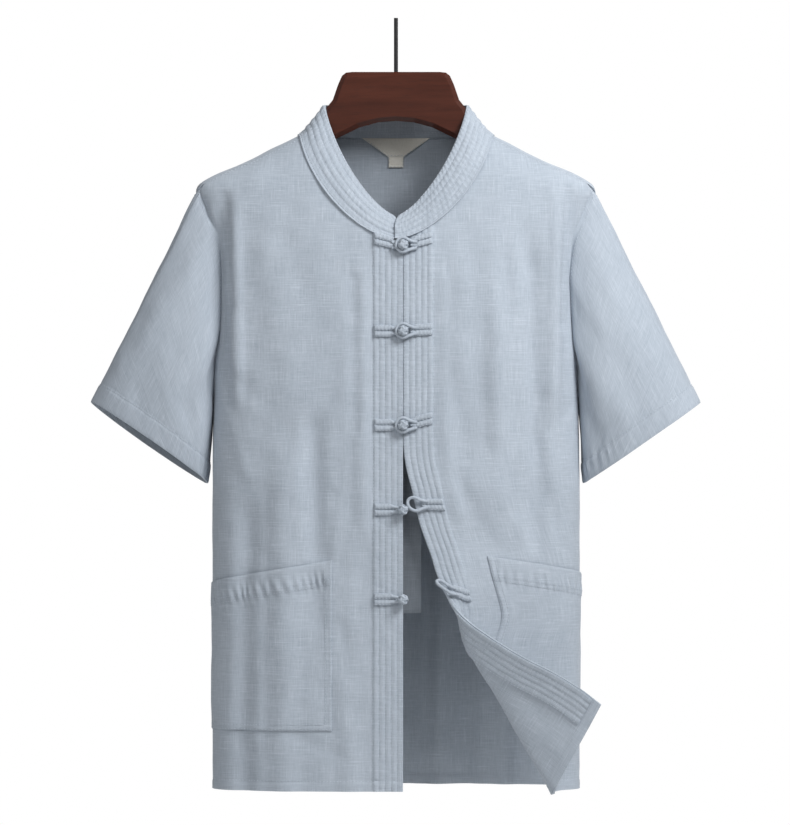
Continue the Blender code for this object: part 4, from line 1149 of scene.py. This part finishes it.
def make_sleeve(side, side_name):
    name = f"linen_sleeve_{side_name}"
    edge, beside, outward = (line[:-1] for line in armhole(side))
    turn = np.linspace(0.0, 2 * np.pi, SLEEVE_COLUMNS + 1)[:-1]
    cuff = (CUFF_OUTER + CUFF_INNER) / 2 + (CUFF_INNER - CUFF_OUTER) / 2 * np.cos(turn)[:, None]
    lift = CUFF_LIFT[side] * np.sin(turn)
    end = np.stack([side * cuff[:, 0], -CUFF_HALF_DEPTH * np.sin(turn), lift - cuff[:, 1]], axis=-1)
    part = np.linspace(0.004, 1.0, SLEEVE_ROWS)[:, None, None]
    fullness = np.zeros((SLEEVE_ROWS, SLEEVE_COLUMNS, 3))
    fullness[:, :, 1] = -SLEEVE_FULLNESS * np.sin(turn) * (4 * part * (1 - part))[:, :, 0]
    base = edge * (1 - part) + end * part + fullness
    square = normals(base, closed=True)
    centre = base.mean(axis=1, keepdims=True)
    if np.sum(square * (base - centre)) < 0:
        square = -square
    lengths = np.concatenate([np.zeros((1, SLEEVE_COLUMNS)),
                              np.cumsum(np.linalg.norm(np.diff(base, axis=0), axis=2), axis=0)])
    to_cuff = lengths[-1] - lengths
    degrees = np.broadcast_to(np.degrees(turn), lengths.shape)
    fold = crease_height(SLEEVE_CREASES[side], lengths, degrees) * ease(lengths / 18.0)
    fold += crease_height(SLEEVE_CREASES[side], lengths, degrees - 360.0) * ease(lengths / 18.0)
    waves = cockle(lengths, 30.0 * np.sin(turn) + 60.0 * np.cos(turn), 3.0 + side)
    fold += waves * 0.9 - 1.4 * np.exp(-((lengths / 4.5) ** 2))
    gather = np.exp(-(((to_cuff - CUFF_HEM + 7.0) / 11.0) ** 2))
    gather = gather * (0.25 + 0.55 * ease(np.cos(turn) * 1.2 + 0.1))
    fold += gather * np.sin(turn * 41.0 + 1.7 * np.sin(turn * 5.0)) * 1.15
    hem = 0.6 * ease((CUFF_HEM - to_cuff) / 1.6) - 0.5 * np.exp(-(((to_cuff - CUFF_HEM) / 1.2) ** 2))
    rim = -0.5 * ease((2.5 - to_cuff) / 2.5)
    outer = base + square * (WALL + fold + hem + rim)[..., None]
    inner = base + square * (fold - 0.6 * ease((CUFF_HEM - to_cuff) / 1.2))[..., None]
    tuck = (beside - outward * TUCK_DEPTH)[None]
    outer = np.concatenate([tuck + outward * WALL, outer])
    inner = np.concatenate([tuck, inner])
    reach = np.broadcast_to(turn * SLEEVE_RADIUS, lengths.shape)
    lengths = np.concatenate([lengths[:1] - TUCK_LENGTH, lengths])
    flat = np.stack([np.concatenate([reach[:1], reach]), lengths], axis=-1)
    shell(name, outer, inner, flat, linen_cloth, "linen", True, (f"sleeve_{side_name}",))
    cuts[name] = spans(np.concatenate([outer, outer[:, :1]], axis=1))
    line, up = [], []
    for column in list(range(SLEEVE_COLUMNS)) + [0]:
        row = float(np.interp(-CUFF_HEM, -to_cuff[:, column], np.arange(SLEEVE_ROWS)))
        low = int(row)
        mix = row - low
        line.append(outer[low + 1, column] * (1 - mix) + outer[low + 2, column] * mix)
        up.append(square[low, column])
    line, up = np.array(line), np.array(up)
    stitch_along(name, line + up * 0.5, up)
    stitch_along(name, outer[3] + square[2] * 0.05, square[2])


for side, side_name in ((RIGHT, "right"), (LEFT, "left")):
    make_sleeve(side, side_name)
print("sleeve cut:", [round(size, 3) for size in cuts["linen_sleeve_left"]])

# %% [markdown]
# ## The band collar
#
# The collar is a stiffened band that stands up from the neckline. Rows of stitching quilt it, and the
# thread puckers the linen between them. Its foot covers the raw edge of the body's cloth, as a real
# collar's does, and its left end laps over the right one.

# %% The collar
COLLAR_TOP_HALF_WIDTH = 80.0
COLLAR_SIDE_DROP = 100.0
COLLAR_DIP = 128.0
COLLAR_POWER = 1.42
COLLAR_FRONT_REACH = 40.0
COLLAR_BACK_REACH = 37.0
COLLAR_BACK_RISE = 2.0
COLLAR_CORNER = 10.0
COLLAR_ENDS = {RIGHT: 3.0, LEFT: -1.0}
COLLAR_OVERLAP = 2.8
COLLAR_FOOT = -0.07
COLLAR_ROWS = 44
COLLAR_HALF_COLUMNS = 190
COLLAR_LINES = 5


def neck_edge(side):
    """Half of the neck's edge, from the centre front to the centre back."""
    panel = front[side]
    limit = seam_point(NECK_HALF_WIDTH)[1]
    reaches = np.linspace(0.0, limit, 120)
    line = [panel.read(panel.points, neckline_on(panel, reach), reach) for reach in reaches]
    for along in np.linspace(quarter(BACK, SHOULDER_POINT_DROP), 0.0, 60):
        line.append(ring_row(BACK, back_neck_drop(along), [side * along])[0])
    return line_evenly(line, 400)


def collar_top(side):
    """Half of the collar's top edge, from the centre front to the centre back."""
    line = []
    for angle in np.linspace(0.0, np.pi / 2, 90):
        dip = max(np.cos(angle), 0.0) ** (2 / COLLAR_POWER)
        x = COLLAR_TOP_HALF_WIDTH * np.sin(angle) ** (2 / COLLAR_POWER)
        y = -COLLAR_FRONT_REACH * (1 - (1 - dip) ** 2.2)
        line.append((side * x, y, -COLLAR_SIDE_DROP - COLLAR_DIP * dip))
    for angle in np.linspace(0.0, np.pi / 2, 60)[1:]:
        x, y = COLLAR_TOP_HALF_WIDTH * np.cos(angle), COLLAR_BACK_REACH * np.sin(angle)
        line.append((side * x, y, -COLLAR_SIDE_DROP + COLLAR_BACK_RISE * np.sin(angle)))
    return line_evenly(line, 400)


def collar_half(side):
    """Half of the collar's inner face, its rows from the foot to the top."""
    foot, top = neck_edge(side), collar_top(side)
    length = np.sum(np.linalg.norm(np.diff(foot, axis=0), axis=1))
    part = np.linspace(0.0, 1.0, COLLAR_HALF_COLUMNS)
    rows = []
    for height in np.linspace(COLLAR_FOOT, 1.0, COLLAR_ROWS):
        corner = COLLAR_CORNER * (1 - np.sqrt(1 - max(0.0, (height - 0.5) / 0.5) ** 2))
        begin = (side * COLLAR_ENDS[side] + corner) / length
        mark = (begin + (1 - begin) * part) * 399
        low, high = (np.stack([np.interp(mark, np.arange(400), line[:, axis]) for axis in range(3)], axis=-1)
                     for line in (foot, top))
        past = side * mark * length / 399
        low[:, 0], high[:, 0] = np.where(mark < 0, past, low[:, 0]), np.where(mark < 0, past, high[:, 0])
        row = low * (1 - height) + high * height
        ahead = COLLAR_OVERLAP * (1 - ease(part * length / 40.0)) if side == LEFT else 0.0
        row[:, 1] -= 3.0 * np.sin(np.pi * max(height, 0.0)) + ahead
        rows.append(row)
    return np.array(rows), length


right_half, half_length = collar_half(RIGHT)
left_half, _ = collar_half(LEFT)
collar_base = np.concatenate([right_half, left_half[:, -2::-1]], axis=1)
collar_out = normals(collar_base)
if np.sum(collar_out[:, :, 1] * collar_base[:, :, 1]) < 0:
    collar_out = -collar_out
collar_height = np.linspace(COLLAR_FOOT, 1.0, COLLAR_ROWS)[:, None]
collar_along = np.linspace(-half_length, half_length, collar_base.shape[1])[None, :]
quilt = channels(np.clip(collar_height, 0.0, 1.0), 1.0, COLLAR_LINES, collar_along, 1.9)
cover = 2.1 + 1.4 * ease((np.abs(collar_along) - half_length + 45.0) / 45.0)
cover = cover * (1 - ease((collar_height - COLLAR_FOOT) / 0.16))
soften = 0.35 * np.sin(collar_along / 23.0) * np.sin(np.pi * np.clip(collar_height, 0, 1))
rise = cover + soften + 0.5
collar_edge = np.minimum(ease((1.0 - collar_height) / 0.035), ease((collar_height - COLLAR_FOOT) / 0.03))
swell = collar_edge * (0.35 + 1.0 * quilt)
collar_outer = collar_base + collar_out * (rise + 1.0 + swell)[..., None]
collar_inner = collar_base + collar_out * (rise - 0.35 * quilt * collar_edge - 0.25)[..., None]
collar_flat = np.stack(np.broadcast_arrays(collar_along, -collar_height * 36.0), axis=-1)
shell("linen_collar", collar_outer, collar_inner, collar_flat, linen_cloth, "linen", stands_for=("collar",))
cuts["linen_collar"] = spans(collar_outer)
for line in range(COLLAR_LINES + 1):
    height = min(max(line / COLLAR_LINES, 0.035), 0.955)
    row = (height - COLLAR_FOOT) / (1 - COLLAR_FOOT) * (COLLAR_ROWS - 1)
    low, mix = int(row), row - int(row)
    for face, way in ((collar_outer, 1.0), (collar_inner, -1.0)):
        stitches = face[low, 3:-3] * (1 - mix) + face[low + 1, 3:-3] * mix
        up = way * collar_out[low, 3:-3]
        stitch_along("linen_collar", stitches + 0.12 * up, up)
print("the collar is cut", [round(size, 3) for size in cuts["linen_collar"]])

# %% [markdown]
# ## Patch pockets
#
# A patch pocket is one more layer on the front, so its points are the front's own points moved outwards.
# Its mouth has a deep turned hem, gathered by two rows of thread, and its sides are sewn down twice.

# %% The pockets
POCKET_INNER = {RIGHT: 72.0, LEFT: 74.0}
POCKET_OUTER = 229.0
POCKET_MOUTH = {RIGHT: 616.0, LEFT: 611.0}
POCKET_SLOPE = 0.17
POCKET_BOTTOM = 809.0
POCKET_WALL = 1.1
POCKET_COLUMNS, POCKET_ROWS = 92, 96
MOUTH_HEM = 27.0


def make_pocket(side, side_name):
    panel, name = front[side], f"linen_pocket_{side_name}"
    inner_reach, mouth = POCKET_INNER[side], POCKET_MOUTH[side]
    outer_reach = min(POCKET_OUTER, float(panel.edges(mouth + 26.0)) - 2.5)
    across = np.linspace(0.0, 1.0, POCKET_COLUMNS)[None, :]
    down = np.linspace(0.0, 1.0, POCKET_ROWS)[:, None]
    reaches = np.repeat(inner_reach + (outer_reach - inner_reach) * across, POCKET_ROWS, axis=0)
    tops = mouth + POCKET_SLOPE * (reaches - inner_reach)
    drops = tops + (POCKET_BOTTOM - tops) * down
    from_mouth = drops - tops
    from_side = np.minimum(reaches - inner_reach, outer_reach - reaches)
    from_foot = POCKET_BOTTOM - drops
    stand = 1.9 * np.sin(np.pi * across) * np.exp(-from_mouth / 40.0) * ease(from_side / 14.0)
    hem = ease((MOUTH_HEM - from_mouth) / 1.5) * 0.5
    near_line = np.exp(-(((from_mouth - MOUTH_HEM + 6.0) / 9.0) ** 2))
    wander = 1.9 * np.sin(reaches / 13.0 + side) + from_mouth / 6.0
    gathers = near_line * ease(from_side / 10.0) * 0.95 * np.sin(reaches / 1.55 + wander)
    slack = 0.5 * np.sin(reaches / 19.0 + drops / 37.0) + 0.35 * np.sin(drops / 15.0 - reaches / 33.0)
    slack = slack * ease(np.minimum(from_side, from_foot) / 18.0)
    sewn = 0.35 * np.exp(-(((np.minimum(from_side, from_foot) - 3.6) / 2.2) ** 2))
    rim = -0.5 * ease((1.6 - np.minimum(np.minimum(from_side, from_foot), from_mouth)) / 1.6)
    lift = 0.35 + stand
    outer = panel.on(drops, reaches, lift + POCKET_WALL + hem + gathers + slack + sewn + rim)
    inner = panel.on(drops, reaches, lift - 0.1)
    flat = np.stack([reaches, drops], axis=-1)
    shell(name, outer, inner, flat, linen_cloth, "linen", stands_for=(f"pocket_{side_name}",))
    cuts[name] = spans(outer)
    square = normals(outer)
    square *= np.sign(np.sum(square * (outer - inner)))
    column_of = lambda inset: inset / (outer_reach - inner_reach) * (POCKET_COLUMNS - 1)
    for inset in (1.9, 7.4):
        row_of = (POCKET_BOTTOM - inset - mouth) / (POCKET_BOTTOM - mouth) * (POCKET_ROWS - 1)
        places = [(row, column_of(inset)) for row in np.arange(1.0, row_of, 0.7)]
        places += [(row_of, column) for column in np.arange(column_of(inset), POCKET_COLUMNS - 1.5, 0.8)]
        stitch_places(name, outer, square, places)
    for depth in (MOUTH_HEM, MOUTH_HEM - 5.5):
        places = []
        for column in np.arange(column_of(2.0), POCKET_COLUMNS - 2.0, 0.6):
            top = float(np.interp(column, np.arange(POCKET_COLUMNS), tops[0]))
            places.append((depth / (POCKET_BOTTOM - top) * (POCKET_ROWS - 1), column))
        stitch_places(name, outer, square, places)


def stitch_places(name, grid, square, places):
    """Stitches through places given as a row and a column of a grid."""
    line, up = [], []
    for row, column in places:
        low, before = int(row), int(column)
        down, over = row - low, column - before
        corner = [(low, before, (1 - down) * (1 - over)), (low, before + 1, (1 - down) * over),
                  (low + 1, before, down * (1 - over)), (low + 1, before + 1, down * over)]
        line.append(sum(grid[a, b] * share for a, b, share in corner))
        up.append(square[low, before])
    line, up = np.array(line), np.array(up)
    stitch_along(name, line + 0.15 * up, up)


for side, side_name in ((RIGHT, "right"), (LEFT, "left")):
    make_pocket(side, side_name)
print("pocket cut:", [round(size, 3) for size in cuts["linen_pocket_right"]])

# %% [markdown]
# ## Inside the open front
#
# Where the corner turns over, the facing shows: a strip sewn along the front edge, with the same rows of
# stitching as the band outside. A narrow guard strip lies behind the knots, so that nothing shows between
# them. Its linen is darkened to half, as painted shade for the shadow that falls behind the front edge.

# %% The facing and the guard strip
FACING_WIDTH = 35.0
FACING_TOP = 276.0
FACING_GAP = 0.3
FACING_WALL = 1.0
panel = front[LEFT]
reaches = np.linspace(CENTRE_FRONT + 1.4, CENTRE_FRONT + FACING_WIDTH, 42)[None, :]
drops = np.linspace(FACING_TOP, HEM_DROP - 12.6, 250)[:, None]
across = reaches - CENTRE_FRONT - 1.4
quilt = channels(across, FACING_WIDTH - 1.4, BAND_CHANNELS, drops, 4.0)
border = ease(np.minimum(across, FACING_WIDTH - 1.4 - across) / 1.0)
facing_outer = panel.on(drops, reaches, -WALL - FACING_GAP - FACING_WALL - 0.8 * quilt * border)
facing_inner = panel.on(drops, reaches, -WALL - FACING_GAP)
facing_flat = np.stack(np.broadcast_arrays(reaches, drops), axis=-1)
facing_shell = facing_outer, facing_inner, facing_flat
shell("linen_facing", *facing_shell, linen_cloth, "linen", stands_for=("facing_left",))
cuts["linen_facing"] = spans(facing_outer)
square = normals(facing_outer)
square *= np.sign(np.sum(square * (facing_outer - facing_inner)))
for line in range(BAND_CHANNELS + 1):
    column = min(max(41 * line / BAND_CHANNELS, 0.9), 40.1)
    stitch_places("linen_facing", facing_outer, square, [(row, column) for row in np.arange(1.0, 248.0, 0.8)])

GUARD_INNER, GUARD_OUTER = -20.0, 28.5
GUARD_TOP, GUARD_BOTTOM = 268.0, 676.0
GUARD_DEPTH = 12.0
alongs = np.linspace(GUARD_INNER, GUARD_OUTER, 26)
guard_drops = np.linspace(GUARD_TOP, GUARD_BOTTOM, 110)
guard = np.array([ring_row(FRONT, drop, alongs) for drop in guard_drops])
guard[:, :, 1] += 0.5 * np.sin(guard_drops / 21.0)[:, None] + 0.3 * np.sin(alongs / 7.0)[None, :]
behind = np.array([0.0, GUARD_DEPTH, 0.0])
guard_flat = np.stack(np.broadcast_arrays(alongs[None, :], guard_drops[:, None]), axis=-1)
guard_inner = guard + behind
guard_outer = guard_inner - np.array([0.0, WALL, 0.0])
guard_shell = guard_outer, guard_inner, guard_flat
# The guard strip wears the half-dark linen: painted shade for the shadow it lies in behind the front edge.
shell("linen_guard_strip", *guard_shell, linen_painted_shade, "linen", stands_for=("underlap",))
cuts["linen_guard_strip"] = spans(guard)
print("facing cut:", [round(size, 3) for size in cuts["linen_facing"]])

# %% [markdown]
# ## Knots and loops
#
# Each closure is two straps of doubled linen cord. On the wearer's right the cord ends in a woven ball
# knot, on the left in a loop that goes round it. The ball is one cord that travels round a sphere while it
# swings up and down, which is how the real knot is tied. The straps are flat, with a groove between their
# two cords.

# %% The closures
CLOSURES = table(
    "drop right_rise left_rise loop_up",
    (261.5, 8, 9, 0),
    (358, 0, 2, 0),
    (464, 0, 8, 0),
    (559, 0, 0, 5),
    (660, 0, 0, 6),
)
STRAP_REACH = 33.0
STRAP_FROM = 8.5
STRAP_HALF = 6.8
STRAP_HEIGHT = 2.5
STRAP_SEAT = 1.75
CORD_RADIUS = 1.75
KNOT_RADIUS = 5.7
KNOT_LIFT = 9.0
EYE_RADIUS = 7.9
EYE_LIFT = 6.6


def tube(points, radius, sides=12, closed=False):
    """The points and quads of a round cord, all of them in millimetres."""
    points = np.asarray(points, float)
    if closed:
        ahead = np.roll(points, -1, axis=0) - np.roll(points, 1, axis=0)
    else:
        ahead = np.gradient(points, axis=0)
    ahead /= np.linalg.norm(ahead, axis=1)[:, None]
    up = np.cross(ahead[0], (0.3, 0.2, 0.9))
    frames = []
    for way in ahead:
        up = up - way * (up @ way)
        up /= np.linalg.norm(up)
        frames.append(up)
    frames = np.array(frames)
    beside = np.cross(ahead, frames)
    turn = np.linspace(0.0, 2 * np.pi, sides + 1)[:-1]
    if closed:
        last = frames[-1] - ahead[0] * (frames[-1] @ ahead[0])
        twist = math.atan2(last @ beside[0], last @ frames[0])
        turn_grid = turn[None, :] - twist * np.linspace(0.0, 1.0, len(points))[:, None]
    else:
        turn_grid = np.broadcast_to(turn, (len(points), sides))
    radii = np.broadcast_to(radius, len(points))[:, None, None]
    rings = points[:, None] + radii * (np.cos(turn_grid)[..., None] * frames[:, None]
                                       + np.sin(turn_grid)[..., None] * beside[:, None])
    index = np.arange(len(points) * sides).reshape(len(points), sides)
    index = np.concatenate([index, index[:, :1]], axis=1)
    if closed:
        index = np.concatenate([index, index[:1]])
    quads = np.stack([index[:-1, :-1], index[:-1, 1:], index[1:, 1:], index[1:, :-1]], axis=-1).reshape(-1, 4)
    return rings.reshape(-1, 3), quads


def strap(panel, centre, drop, rise, name):
    """A flat strap of two cords on a front, from near the knot to its square outer end."""
    out = np.linspace(STRAP_FROM, STRAP_REACH, 34)[:, None]
    over = np.linspace(-1.0, 1.0, 29)[None, :]
    half = STRAP_HALF * (0.62 + 0.38 * ease((out - STRAP_FROM) / 7.0))
    reaches = centre + out
    drops = drop - rise * out / STRAP_REACH - over * half
    two = 1 - np.abs(2 * np.abs(over) - 1) ** 2.6
    ends = ease((STRAP_REACH - out) / 1.4) * 0.75 + 0.25
    pucker = 0.18 * np.sin(out * 1.5 + 3 * np.sign(over) + drop) * two
    height = STRAP_SEAT + 0.3 + (0.5 + (STRAP_HEIGHT - 0.5) * two) * ends + pucker
    top = panel.above(drops, reaches, height)
    foot = panel.above(drops, reaches, STRAP_SEAT - 0.5)
    size = top.shape[0] * top.shape[1]
    faces = shell_faces(*top.shape[:2], False)
    points = np.concatenate([top.reshape(-1, 3), foot.reshape(-1, 3)])
    quads = points[faces[:200]]
    facing = np.cross(quads[:, 2] - quads[:, 0], quads[:, 3] - quads[:, 1])
    if np.sum(facing * (points[faces[:200, 0]] - points[faces[:200, 0] + size])) < 0:
        faces = faces[:, ::-1]
    square = normals(top)
    square *= np.sign(np.sum(square * (top - foot)))
    for column in (2.2, 11.8, 16.2, 25.8):
        stitch_places(name, top, square, [(row, column) for row in np.arange(1.0, 32.0, 0.7)])
    return points, faces


def woven_ball(middle, outward):
    """The points and quads of a ball knot: an inner ball, and a cord woven round it."""
    step = np.linspace(0.0, 2 * np.pi, 220)[:-1]
    longitude, latitude = 3 * step, np.radians(56.0) * np.sin(4 * step)
    radius = KNOT_RADIUS - 1.55 + 0.55 * np.cos(8 * step + 0.6)
    level = np.cos(latitude)
    way = np.stack([level * np.cos(longitude), level * np.sin(longitude), np.sin(latitude)], axis=-1)
    up = outward / np.linalg.norm(outward)
    side = np.cross(up, (0.0, 0.0, 1.0))
    side /= np.linalg.norm(side)
    axes = np.stack([side, np.cross(up, side), up])
    cord = middle + (way * radius[:, None]) @ axes
    points, faces = tube(cord, 1.5, 10, closed=True)
    rings, turns = 14, 20
    lat = np.linspace(-np.pi / 2 + 0.01, np.pi / 2 - 0.01, rings)[:, None]
    lon = np.linspace(0, 2 * np.pi, turns + 1)[None, :-1]
    lumps = KNOT_RADIUS - 1.5 + 0.3 * np.sin(3 * lon) * np.cos(lat)
    ends = np.broadcast_to(np.sin(lat), lumps.shape)
    core = np.stack([np.cos(lat) * np.cos(lon), np.cos(lat) * np.sin(lon), ends], axis=-1)
    core = middle + (core * lumps[..., None]).reshape(-1, 3)
    index = np.arange(rings * turns).reshape(rings, turns)
    index = np.concatenate([index, index[:, :1]], axis=1)
    quads = np.stack([index[:-1, :-1], index[:-1, 1:], index[1:, 1:], index[1:, :-1]], axis=-1).reshape(-1, 4)
    return [(points, faces), (core, quads)]


def joined(parts):
    """Several sets of points and quads as one."""
    points, faces, count = [], [], 0
    for more_points, more_faces in parts:
        points.append(more_points)
        faces.append(np.asarray(more_faces) + count)
        count += len(more_points)
    return np.concatenate(points), np.concatenate(faces)


def cord_from(panel, marks, drop):
    """A smooth line of points through marks of reach, height above the drop, and lift."""
    marks = np.array(marks, float)
    lengths = np.concatenate([[0.0], np.cumsum(np.hypot(*np.diff(marks[:, :2], axis=0).T) + 0.4)])
    fine = np.linspace(0.0, lengths[-1], 70)
    reach, high, lift = (np.interp(fine, lengths, marks[:, axis]) for axis in range(3))
    for _ in range(3):
        reach[1:-1] = (reach[:-2] + reach[1:-1] * 2 + reach[2:]) / 4
        high[1:-1] = (high[:-2] + high[1:-1] * 2 + high[2:]) / 4
        lift[1:-1] = (lift[:-2] + lift[1:-1] * 2 + lift[2:]) / 4
    return panel.above(drop - high, reach, lift)


def finish_closure(name, parts, node_name):
    """The mesh of a closure's half, which stands for a solid."""
    points, faces = joined(parts)
    flat = np.stack([points[:, 2], points[:, 0] + 0.6 * points[:, 1], np.zeros(len(points))], axis=-1)
    half = make_mesh(name, points, faces, linen_cord, flat, 60)
    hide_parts(node_name)


def make_closure(index):
    number = index + 1
    drop = CLOSURES["drop"][index]
    seat = STRAP_SEAT + 0.4 + CORD_RADIUS
    name = f"knot_{number}"
    panel, centre = front[RIGHT], -CENTRE_FRONT
    parts = [strap(panel, centre, drop, CLOSURES["right_rise"][index], name)]
    middle = panel.above(drop, centre, KNOT_LIFT)
    outward = panel.read(panel.outward, drop, centre)
    for way in (-1.0, 1.0):
        marks = [
            (centre + 13.0, way * 3.2, seat),
            (centre + 9.5, way * 2.8, seat),
            (centre + 6.5, way * 2.0, seat + 1.2),
            (centre + 4.0, way * 1.7, KNOT_LIFT - 3.0),
            (centre + 1.0, way * 1.2, KNOT_LIFT - 1.0),
        ]
        parts.append(tube(cord_from(panel, marks, drop), CORD_RADIUS))
    parts += woven_ball(middle, outward)
    finish_closure(name, parts, f"frog_knot_{number}")

    name = f"loop_{number}"
    panel, centre = front[LEFT], CENTRE_FRONT
    loop_drop = drop - CLOSURES["loop_up"][index]
    parts = [strap(panel, centre, loop_drop, CLOSURES["left_rise"][index], name)]
    marks = [(centre + 16.0, 3.3, seat), (centre + 12.5, 3.5, seat)]
    for angle in np.radians(np.linspace(48, 312, 23)):
        marks.append((centre + EYE_RADIUS * np.cos(angle), EYE_RADIUS * np.sin(angle), EYE_LIFT))
    marks += [(centre + 12.5, -3.5, seat), (centre + 16.0, -3.3, seat)]
    parts.append(tube(cord_from(panel, marks, loop_drop), CORD_RADIUS + 0.1))
    finish_closure(name, parts, f"frog_loop_{number}")


for index in range(len(CLOSURES["drop"])):
    make_closure(index)
print("closures:", len(CLOSURES["drop"]))

# %% [markdown]
# ## The neck label
#
# A plain woven label hangs inside the back of the neck, with a small size tab below it. Both are left bare.

# %% The label and its tab
LABEL_TOP, LABEL_HEIGHT = 135.0, 21.0
LABEL_TOP_HALF, LABEL_FOOT_HALF = 39.0, 9.0
TAB_HALF, TAB_HEIGHT = 8.5, 12.0
LABEL_WALL = 0.6


def make_tape(name, top, height, top_half, foot_half, node_name):
    part = np.linspace(0.0, 1.0, 20)[:, None]
    half = top_half * (1 - part) + foot_half * part
    alongs = np.linspace(-1.0, 1.0, 60)[None, :] * half
    drops = np.repeat(top + height * part, 60, axis=1)
    depth = -WALL - 0.9 - 0.5 * np.sin(np.pi * part) * np.cos(np.pi / 2 * alongs / top_half)
    inner = back.on(np.maximum(drops, SHOULDER_POINT_DROP + BACK_NECK_DIP), alongs, depth)
    inner[:, :, 2] = -drops
    border = 0.22 * (np.abs(alongs) > half - 2.0) + 0.22 * (part > 1 - 2.0 / height)
    outer = inner - np.array([0.0, 1.0, 0.0]) * (LABEL_WALL + border)[..., None]
    flat = np.stack([alongs, drops], axis=-1)
    shell(name, outer, inner, flat, tape_finish, "label_tape", stands_for=(node_name,))
    cuts[name] = spans(outer)
    square = np.broadcast_to(np.array([0.0, -1.0, 0.0]), outer.shape)
    edge = [(row, 2.0) for row in np.arange(0.5, 17.6, 0.4)]
    edge += [(17.6, column) for column in np.arange(2.0, 57.0, 0.8)]
    edge += [(row, 57.0) for row in np.arange(17.6, 0.5, -0.4)]
    stitch_places(name, outer, square, edge)


make_tape("neck_label", LABEL_TOP, LABEL_HEIGHT, LABEL_TOP_HALF, LABEL_FOOT_HALF, "label")
make_tape("neck_tab", LABEL_TOP + LABEL_HEIGHT + 0.3, TAB_HEIGHT, TAB_HALF, TAB_HALF, "size_tab")
print("label and tab are bare tape")

# %% [markdown]
# ## Stitch meshes
#
# The stitches of each piece are joined into one mesh. A table lists what each sewn piece rests on, and the
# size each piece was cut to is measured on its outer face; neither is used further.

# %% The stitch meshes
RESTS = {
    "linen_front_right": ["linen_back", "hanger"],
    "linen_front_left": ["linen_back", "hanger"],
    "linen_back": ["hanger"],
    "linen_sleeve_right": ["linen_front_right", "linen_back"],
    "linen_sleeve_left": ["linen_front_left", "linen_back"],
    "linen_collar": ["linen_front_right", "linen_front_left", "linen_back"],
    "linen_pocket_right": ["linen_front_right"],
    "linen_pocket_left": ["linen_front_left"],
    "linen_facing": ["linen_front_left"],
    "linen_guard_strip": ["linen_front_right"],
    "neck_label": ["linen_back"],
    "neck_tab": ["neck_label"],
}
threads = {name: sew(name) for name in seams}
for name, rests_on in RESTS.items():
    width, length, area = cuts[name]
    extras = [threads[name]] if name in threads else []
    area = min(area, width * length)
triangles = [sum(len(face.vertices) - 2 for face in piece.data.polygons) for piece in pieces.values()]
print("triangles in all:", sum(triangles), "and most in one piece:", max(triangles))

# %% [markdown]
# ## Floor, light and camera
#
# The picture has a white ground and soft light. The ground is the world itself. It looks white from
# everywhere, but it gives the cloth less light than that, or it would wash out the inside of the garment. A
# large soft lamp high on the right shapes the folds, a weaker one fills the left, and a third lights the
# back. A pale floor lies well below. The camera stands far back with a long lens, so that upright edges
# stay upright.

# %% The setting
FLOOR_LEVEL = -1.15
FLOOR_RADIUS = 2.4
CAMERA_DISTANCE = 6.0
PICTURE_HEIGHT = 0.9405
SENSOR = 36.0
AIM = (-0.0011, 0.0, -0.4497)
SOFT_LIGHT = 0.20

disc = bmesh.new()
bmesh.ops.create_circle(disc, cap_ends=True, radius=FLOOR_RADIUS, segments=96)
floor_mesh = bpy.data.meshes.new("floor")
disc.to_mesh(floor_mesh)
disc.free()
floor = bpy.data.objects.new("floor", floor_mesh)
floor.location.z = FLOOR_LEVEL
bpy.context.scene.collection.objects.link(floor)
floor_finish = Recipe("pale floor", Roughness=0.9, Base_Color=(0.74, 0.74, 0.74, 1.0))
floor_mesh.materials.append(floor_finish.material)

world = bpy.data.worlds.new("white world")
world.use_nodes = True
ground = world.node_tree.nodes["Background"]
ground.inputs["Color"].default_value = (1.0, 1.0, 1.0, 1.0)
seen = world.node_tree.nodes.new("ShaderNodeLightPath")
brightness = world.node_tree.nodes.new("ShaderNodeMapRange")
brightness.inputs["To Min"].default_value = SOFT_LIGHT
world.node_tree.links.new(seen.outputs["Is Camera Ray"], brightness.inputs["Value"])
world.node_tree.links.new(brightness.outputs["Result"], ground.inputs["Strength"])
bpy.context.scene.world = world
bpy.context.scene.view_settings.view_transform = "Standard"


def soft_lamp(name, place, aim, size, power):
    """A square lamp at a place, turned towards another."""
    lamp = bpy.data.lights.new(name, "AREA")
    lamp.size, lamp.energy = size, power
    holder = bpy.data.objects.new(name, lamp)
    holder.location = place
    way = np.array(aim) - np.array(place)
    level = math.hypot(way[0], way[1])
    holder.rotation_euler = (math.atan2(level, -way[2]), 0.0, math.atan2(way[1], way[0]) - math.pi / 2)
    bpy.context.scene.collection.objects.link(holder)


soft_lamp("key lamp", (1.35, -1.35, 1.15), (0.0, 0.0, -0.35), 0.9, 66.0)
soft_lamp("fill lamp", (-1.4, -2.0, 1.1), (0.0, 0.0, -0.45), 1.4, 20.0)
soft_lamp("back lamp", (0.6, 2.4, 0.9), (0.0, 0.0, -0.45), 1.6, 40.0)

camera_data = bpy.data.cameras.new("camera")
camera_data.sensor_width = SENSOR
camera_data.sensor_fit = "AUTO"
camera_data.lens = SENSOR * CAMERA_DISTANCE / PICTURE_HEIGHT
camera_data.clip_end = 50.0
camera = bpy.data.objects.new("camera", camera_data)
camera.location = (AIM[0], -CAMERA_DISTANCE, AIM[2])
camera.rotation_euler = (math.pi / 2, 0.0, 0.0)
bpy.context.scene.collection.objects.link(camera)
bpy.context.scene.camera = camera
print("the lens is", round(camera_data.lens), "mm")
